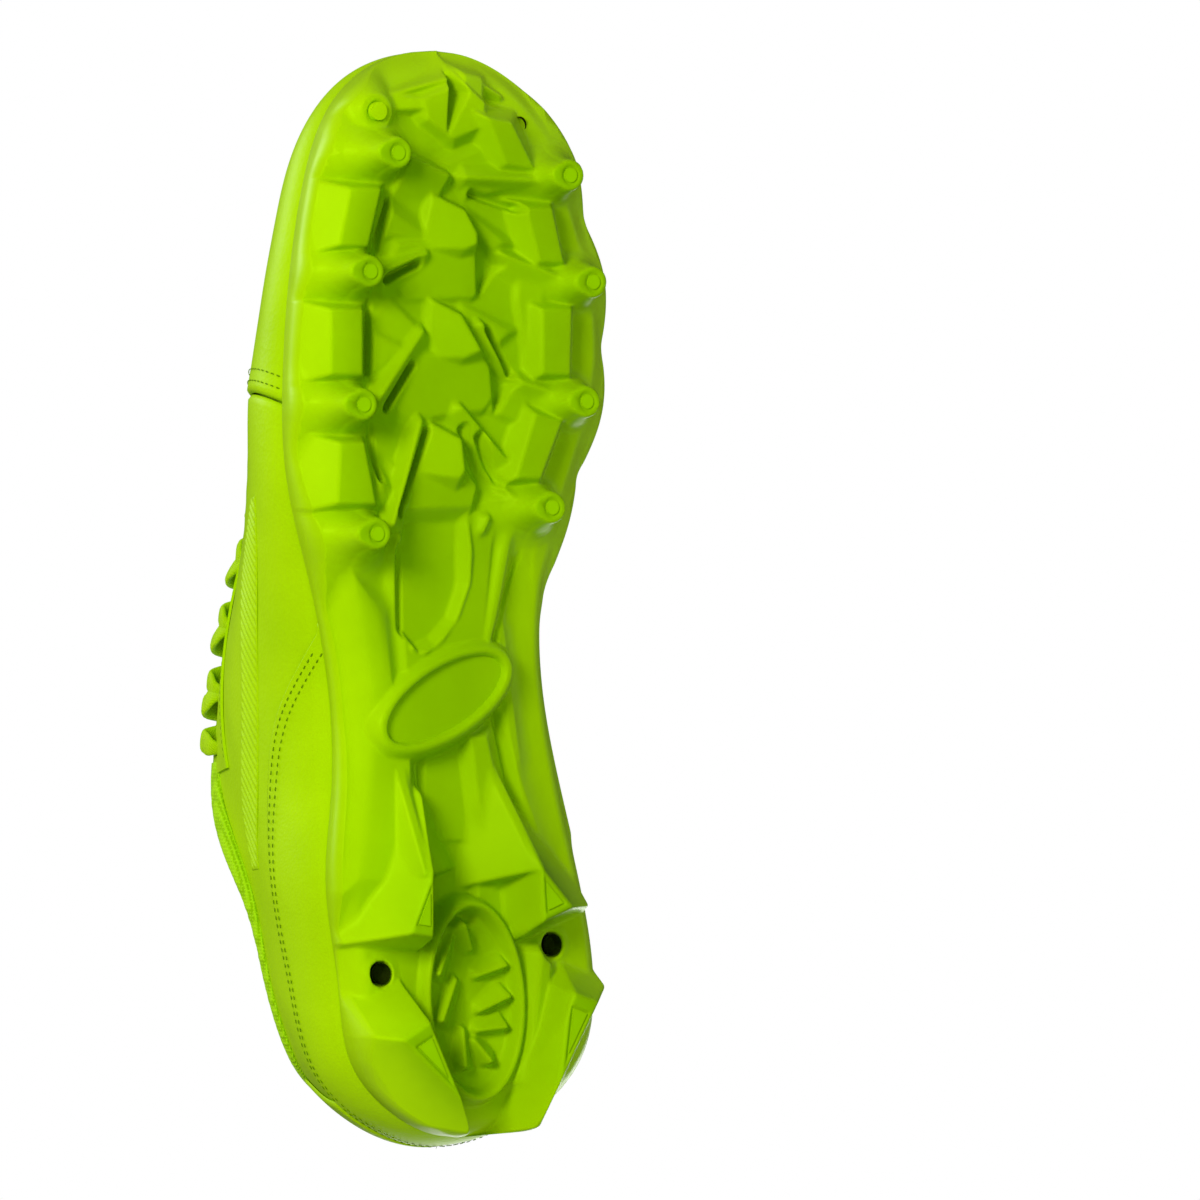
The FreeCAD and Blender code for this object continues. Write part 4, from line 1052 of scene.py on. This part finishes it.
def all_stitches():
    """Two rows along the heel overlay, two along the vamp seam, one round the lace holes."""
    heel = []
    for below in (0.035, 0.075):
        for first, last in ((-6.35, -1.55), (1.55, 6.35), (-1.5, 1.5)):
            u = np.linspace(first, last, 400)
            heel.append((u % LOOP, ankle_limit(u) - below))
    stitches("heel_stitches", heel)
    v = np.linspace(0.03, 0.97, 300)
    front = []
    for side in (1, -1):
        for step in (0.14, 0.26):
            front.append((side * (seam(v) + step) % LOOP, v))
    stitches("vamp_stitches", front, offset=0.42)
    lace_rows = []
    for side in (1, -1):
        u = np.linspace(5.4, 10.1, 300)
        s = (u - 5.3) / 4.9
        lace_rows.append((side * u % LOOP, 0.76 + 0.08 * s + 0.018))
        lace_rows.append((side * u % LOOP, 0.985 + 0 * u))
    stitches("lace_stitches", lace_rows, 1.9, 1.2, 0.38, 0.78)


# ---------------------------------------------------------------- collar, linings and insole
def foam_depth(s, t):
    return 0.5 + 5.0 * np.sin(math.pi * (0.03 + 0.85 * t)) * np.sin(math.pi * (0.02 + 0.96 * s))**0.4


def collar():
    """Padded roll: outside edge, gathered fabric over the top, pad inside, lining down to the insole."""
    columns = 520
    s = np.linspace(0, 1, columns)
    u = -5.42 + 10.84 * s
    keep = np.clip((np.abs(u) - 1.3) / 0.7, 0, 1)
    ends = np.clip(np.minimum(s, 1 - s) / 0.05, 0, 1)
    profile = [(0.915, 0.05, 0), (0.925, 0.55, 0), (0.94, 0.85, 0), (0.96, 1.0, 0), (0.98, 1.0, 0.15),
               (0.995, 0.7, 0.7), (1.003, -0.3, 1.15), (1.0, -1.7, 1.1), (0.99, -3.0, 0.5)]
    rows = []
    ruck = np.sin(s * 400 + 3 * np.sin(s * 41) + 2 * np.sin(s * 97)) * (0.6 + 0.4 * np.sin(s * 33))
    ruck = ruck + 0.5 * np.sin(s * 690 + 2 * np.sin(s * 63))
    for v, offset, lift in profile:
        row_v = np.where(keep < 1, 0.985 + (v - 0.985) * (keep if v < 0.985 else 1), v)
        row_offset = offset * np.where(v < 0.99, 0.3 + 0.7 * keep, 1)
        if offset > 0:
            row_offset = row_offset * (1 + 2.2 * np.exp(-((np.abs(u) - 4.4) / 0.8)**2))
        strength = keep * ends * (0.14 if v < 0.95 else 0.05)
        points = wall(u % LOOP, row_v, row_offset + strength * ruck) + UP * (lift * ends)[:, None]
        rows.append(points)
    for t in np.linspace(0.97, 0.0, 26):
        v = 0.56 + t * 0.425
        depth = foam_depth(s, t) * ends + 0.9 * ends
        crease = 0.35 * wavy(s * 300, v * 60 + 0 * s, 8, 12)
        rows.append(wall(u % LOOP, v, LINED + 0.7 - depth + crease * ends))
    for v in np.linspace(0.52, 0.0, 12):
        fold = foam_depth(s, 0) * max(0, 1 - (0.56 - v) * 7)**2
        rows.append(wall(u % LOOP, v, LINED - 0.15 - fold * ends))
    inner = [wall(u % LOOP, v, LINED + 0.55) for v in np.linspace(0.0, 0.93, 20)]
    inner.append(wall(u % LOOP, 0.955, -1.5 + 0 * u))
    ring = np.stack(rows + inner, 1)
    count = ring.shape[1]
    faces = tube_faces(columns, count)
    faces.append(tuple(range(count - 1, -1, -1)))
    faces.append(tuple((columns - 1) * count + j for j in range(count)))
    obj = piece("collar", ring.reshape(-1, 3), faces, COLLAR_CLOTH, "shoe", "lining",
                ["collar_padding", "collar_lining"])


def lining():
    def place(s, t):
        return 5.3 + (LOOP - 10.6) * s, -0.03 + t * 1.012

    def folds(u, v, points):
        x, y, z = np.moveaxis(points, -1, 0)
        return 0.15 * wavy(x, y + z, 5, 9)
    panel("forefoot_lining", place, 160, 50, LINED + 0.05, LINED + 0.65, LINING, "lining", ["vamp_lining"],
          folds, 0.6)


def joined_copy(nodes, name):
    """One new mesh made of several CAD nodes."""
    vertices, faces = [], []
    for node in nodes:
        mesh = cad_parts[node].data
        start = len(vertices)
        vertices += [tuple(v.co) for v in mesh.vertices]
        faces += [tuple(start + i for i in p.vertices) for p in mesh.polygons]
    mesh = bpy.data.meshes.new(name)
    mesh.from_pydata(vertices, [], faces)
    obj = bpy.data.objects.new(name, mesh)
    bpy.context.collection.objects.link(obj)
    return obj


def remeshed(obj, voxel, passes):
    remesh = obj.modifiers.new("remesh", "REMESH")
    remesh.mode = "VOXEL"
    remesh.voxel_size = voxel
    smooth = obj.modifiers.new("smooth", "SMOOTH")
    smooth.iterations = passes
    bake_modifiers(obj)


def read_vertices(obj, what="co"):
    flat = np.empty(len(obj.data.vertices) * 3)
    obj.data.vertices.foreach_get(what, flat)
    return flat.reshape(-1, 3)


def move_vertices(obj, coords):
    obj.data.vertices.foreach_set("co", coords.ravel())
    obj.data.update()


CLOTH_STEPS = 20


def inflate(obj, pressure, cap):
    """Blows the pad up as cloth; no point moves more than cap from where it starts."""
    start = read_vertices(obj)
    cloth = obj.modifiers.new("cloth", "CLOTH")
    cloth.settings.use_pressure = True
    cloth.settings.uniform_pressure_force = pressure
    cloth.settings.effector_weights.gravity = 0
    cloth.point_cache.frame_start = 1
    cloth.point_cache.frame_end = CLOTH_STEPS
    scene = bpy.context.scene
    for step in range(1, CLOTH_STEPS + 1):
        scene.frame_set(step)
    bake_modifiers(obj)
    scene.frame_set(1)
    moved = read_vertices(obj) - start
    far = np.linalg.norm(moved, axis=1, keepdims=True)
    move_vertices(obj, start + moved * np.minimum(1, cap / np.maximum(far, 1e-9)))


def subdivide(obj, levels):
    modifier = obj.modifiers.new("fine", "SUBSURF")
    modifier.levels = levels
    bake_modifiers(obj)


def tongue():
    """Padded tongue: shell, foam and lining blown up together, then quilted and hemmed."""
    nodes = ["tongue_shell", "tongue_foam", "tongue_lining"]
    obj = joined_copy(nodes, "tongue_pad")
    remeshed(obj, 2.0 * MM, 3)
    coords, normals = read_vertices(obj), read_vertices(obj, "normal")
    obj.data.vertices.foreach_set("co", (coords - normals * 0.5 * MM).ravel())
    inflate(obj, 4.0, 0.6 * MM)
    subdivide(obj, 1)
    coords, normals = read_vertices(obj), read_vertices(obj, "normal")
    x, y, z = (coords / MM - SHIFT).T
    crown = np.clip(normals[:, 2], 0, 1)
    channel = np.exp(-(((x + 50) % 11 - 5.5) / 0.9)**2) * np.clip((-18 - x) / 6, 0, 1)
    hem = np.exp(-((x + 45.5) / 0.7)**2)
    push = -0.35 * channel * crown - 0.4 * hem + 0.12 * wavy(x, y, 11, 5)
    move_vertices(obj, coords + normals * (push * MM)[:, None])
    paint(obj, TONGUE_CLOTH)
    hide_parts(*nodes)
    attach(obj, "tongue")


def sockliner():
    """Fabric top of the removable insole: a soft sheet with pressed dimples and a rounded edge."""
    obj = joined_copy(["sockliner_cover", "sockliner_foam"], "sockliner_pad")
    remeshed(obj, 2.2 * MM, 3)
    inflate(obj, 1.0, 0.15 * MM)
    subdivide(obj, 1)
    coords, normals = read_vertices(obj), read_vertices(obj, "normal")
    x, y, z = (coords / MM - SHIFT).T
    dimple = np.exp(-((((x % 7) - 3.5)**2 + ((y % 7) - 3.5)**2) / 1.6)) * np.clip(normals[:, 2], 0, 1)
    move_vertices(obj, coords - normals * ((0.35 * dimple + 0.05) * MM)[:, None])
    paint(obj, LINING)
    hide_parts("sockliner_cover", "sockliner_foam")
    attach(obj, "sockliner")


# ---------------------------------------------------------------- lace
EYELETS = [26, 9, -8, -25, -40]
LACE_WIDTH = 6.2
LACE_THICK = 1.9
LACE_RINGS = 90          # cross sections along one strand
LACE_SIDES = 16          # points round one cross section


def surface_tree(node):
    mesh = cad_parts[node].data
    return BVHTree.FromPolygons([v.co for v in mesh.vertices], [tuple(p.vertices) for p in mesh.polygons])


def eyelet_station(x, side):
    u = (side * np.arange(4.5, 10.1, 0.01)) % LOOP
    return u[np.abs(bare_wall(u, 0.91 + 0 * u)[:, 0] - x).argmin()]


# v on the wall and height over the eyestay, from inside a lace hole to the edge of the throat
LACE_RISE = [(0.893, -1.9), (0.903, -0.3), (0.918, 1.3), (0.945, 2.3), (0.985, 2.4)]


def lace_path(first, first_side, last, last_side, tree):
    """Points and upward directions from inside one lace hole, across the tongue, into another."""
    ends = []
    for k, side, other in ((first, first_side, last), (last, last_side, first)):
        run = []
        for v, lift in LACE_RISE:
            lean = (EYELETS[other] - EYELETS[k]) * 2.6 * (v - LACE_RISE[0][0])
            u = eyelet_station(EYELETS[k] + lean, side)
            run.append((wall(u, v, 0.8 + lift), wall_normal(u, v)))
        ends.append(run)
    begin, finish = ends[0], ends[1][::-1]
    start, end = begin[-1][0], finish[0][0]
    middle = []
    for t in (0.2, 0.35, 0.5, 0.65, 0.8):
        point = start * (1 - t) + end * t
        origin = Vector(((point + SHIFT) * MM).tolist()) + Vector((0, 0, 0.03))
        hit, normal, _, _ = tree.ray_cast(origin, Vector((0, 0, -1)))
        height = hit.z / MM + 1.9 if hit else point[2]
        point[2] = max(height, point[2] - 1.5) if t in (0.2, 0.8) else height
        middle.append((point, np.array(normal) if hit else UP))
    run = begin + middle + finish
    return np.array([p for p, n in run]), np.array([n for p, n in run])


def through_points(points, count):
    """Smooth line through the points, evenly spaced in parameter."""
    slopes = np.gradient(points, axis=0)
    t = np.linspace(0, len(points) - 1, count)
    k = np.minimum(t.astype(int), len(points) - 2)
    return hermite(points, slopes, k, (t - k)[:, None])


def lace():
    """Flat woven lace with full rounded edges, looped over the edges of the throat."""
    tree = surface_tree("tongue_shell")
    runs = [(0, 1, 0, -1)]
    for k in range(len(EYELETS) - 1):
        runs += [(k, 1, k + 1, -1), (k, -1, k + 1, 1)]
    section = [(math.cos(a), math.sin(a)) for a in np.arange(LACE_SIDES) * math.pi / 8]
    vertices, faces, texture = [], [], []
    for number, run in enumerate(runs):
        points, ups = lace_path(*run, tree)
        points = through_points(points, LACE_RINGS)
        ups = unit(through_points(ups, LACE_RINGS))
        over = 0.9 * (number % 2) * np.sin(np.linspace(0, math.pi, LACE_RINGS)) ** 2
        points = points + ups * over[:, None]
        along = unit(np.gradient(points, axis=0))
        side = unit(np.cross(ups, along))
        up = np.cross(along, side)
        length = np.insert(np.cumsum(np.linalg.norm(np.diff(points, axis=0), axis=1)), 0, 0)
        near = np.clip((np.minimum(length, length[-1] - length) - 1.5) / 5, 0, 1)
        narrow = 0.55 + 0.45 * near * near * (3 - 2 * near)
        start = len(vertices)
        for i in range(LACE_RINGS):
            ripple = 0.05 * math.sin(length[i] * 2 * math.pi / 1.1)
            for c, d in section:
                flat = abs(c)**0.7 * math.copysign(1, c)
                vertices.append(points[i] + side[i] * flat * LACE_WIDTH / 2 * narrow[i]
                                + up[i] * d * (LACE_THICK / 2 + ripple))
                texture.append((length[i] / 1.6, flat * 1.9))
        faces += tube_faces(LACE_RINGS, LACE_SIDES, start)
        faces.append(tuple(range(start + LACE_SIDES - 1, start - 1, -1)))
        faces.append(tuple(range(len(vertices) - LACE_SIDES, len(vertices))))
    obj = piece("lace_weave", np.array(vertices), faces, WEAVE, "shoe", "lace", ["lace"])
    layer = obj.data.uv_layers.new(name="along")
    for loop in obj.data.loops:
        layer.data[loop.index].uv = texture[loop.vertex_index]


upper()
all_stitches()
collar()
lining()
tongue()
sockliner()
lace()

KEPT = {
    "forefoot_stud_tips": TIP, "heel_stud_tips": TIP, "midfoot_badge": TPU, "toe_boss_plug": TIP,
    "insole_board": BOARD, "toe_puff": STIFF, "heel_counter": STIFF, "lateral_eyestay": OVERLAY,
    "medial_eyestay": OVERLAY, "tongue_lace_keeper": WEAVE,
}
for node, material in KEPT.items():
    paint(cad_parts[node], material)
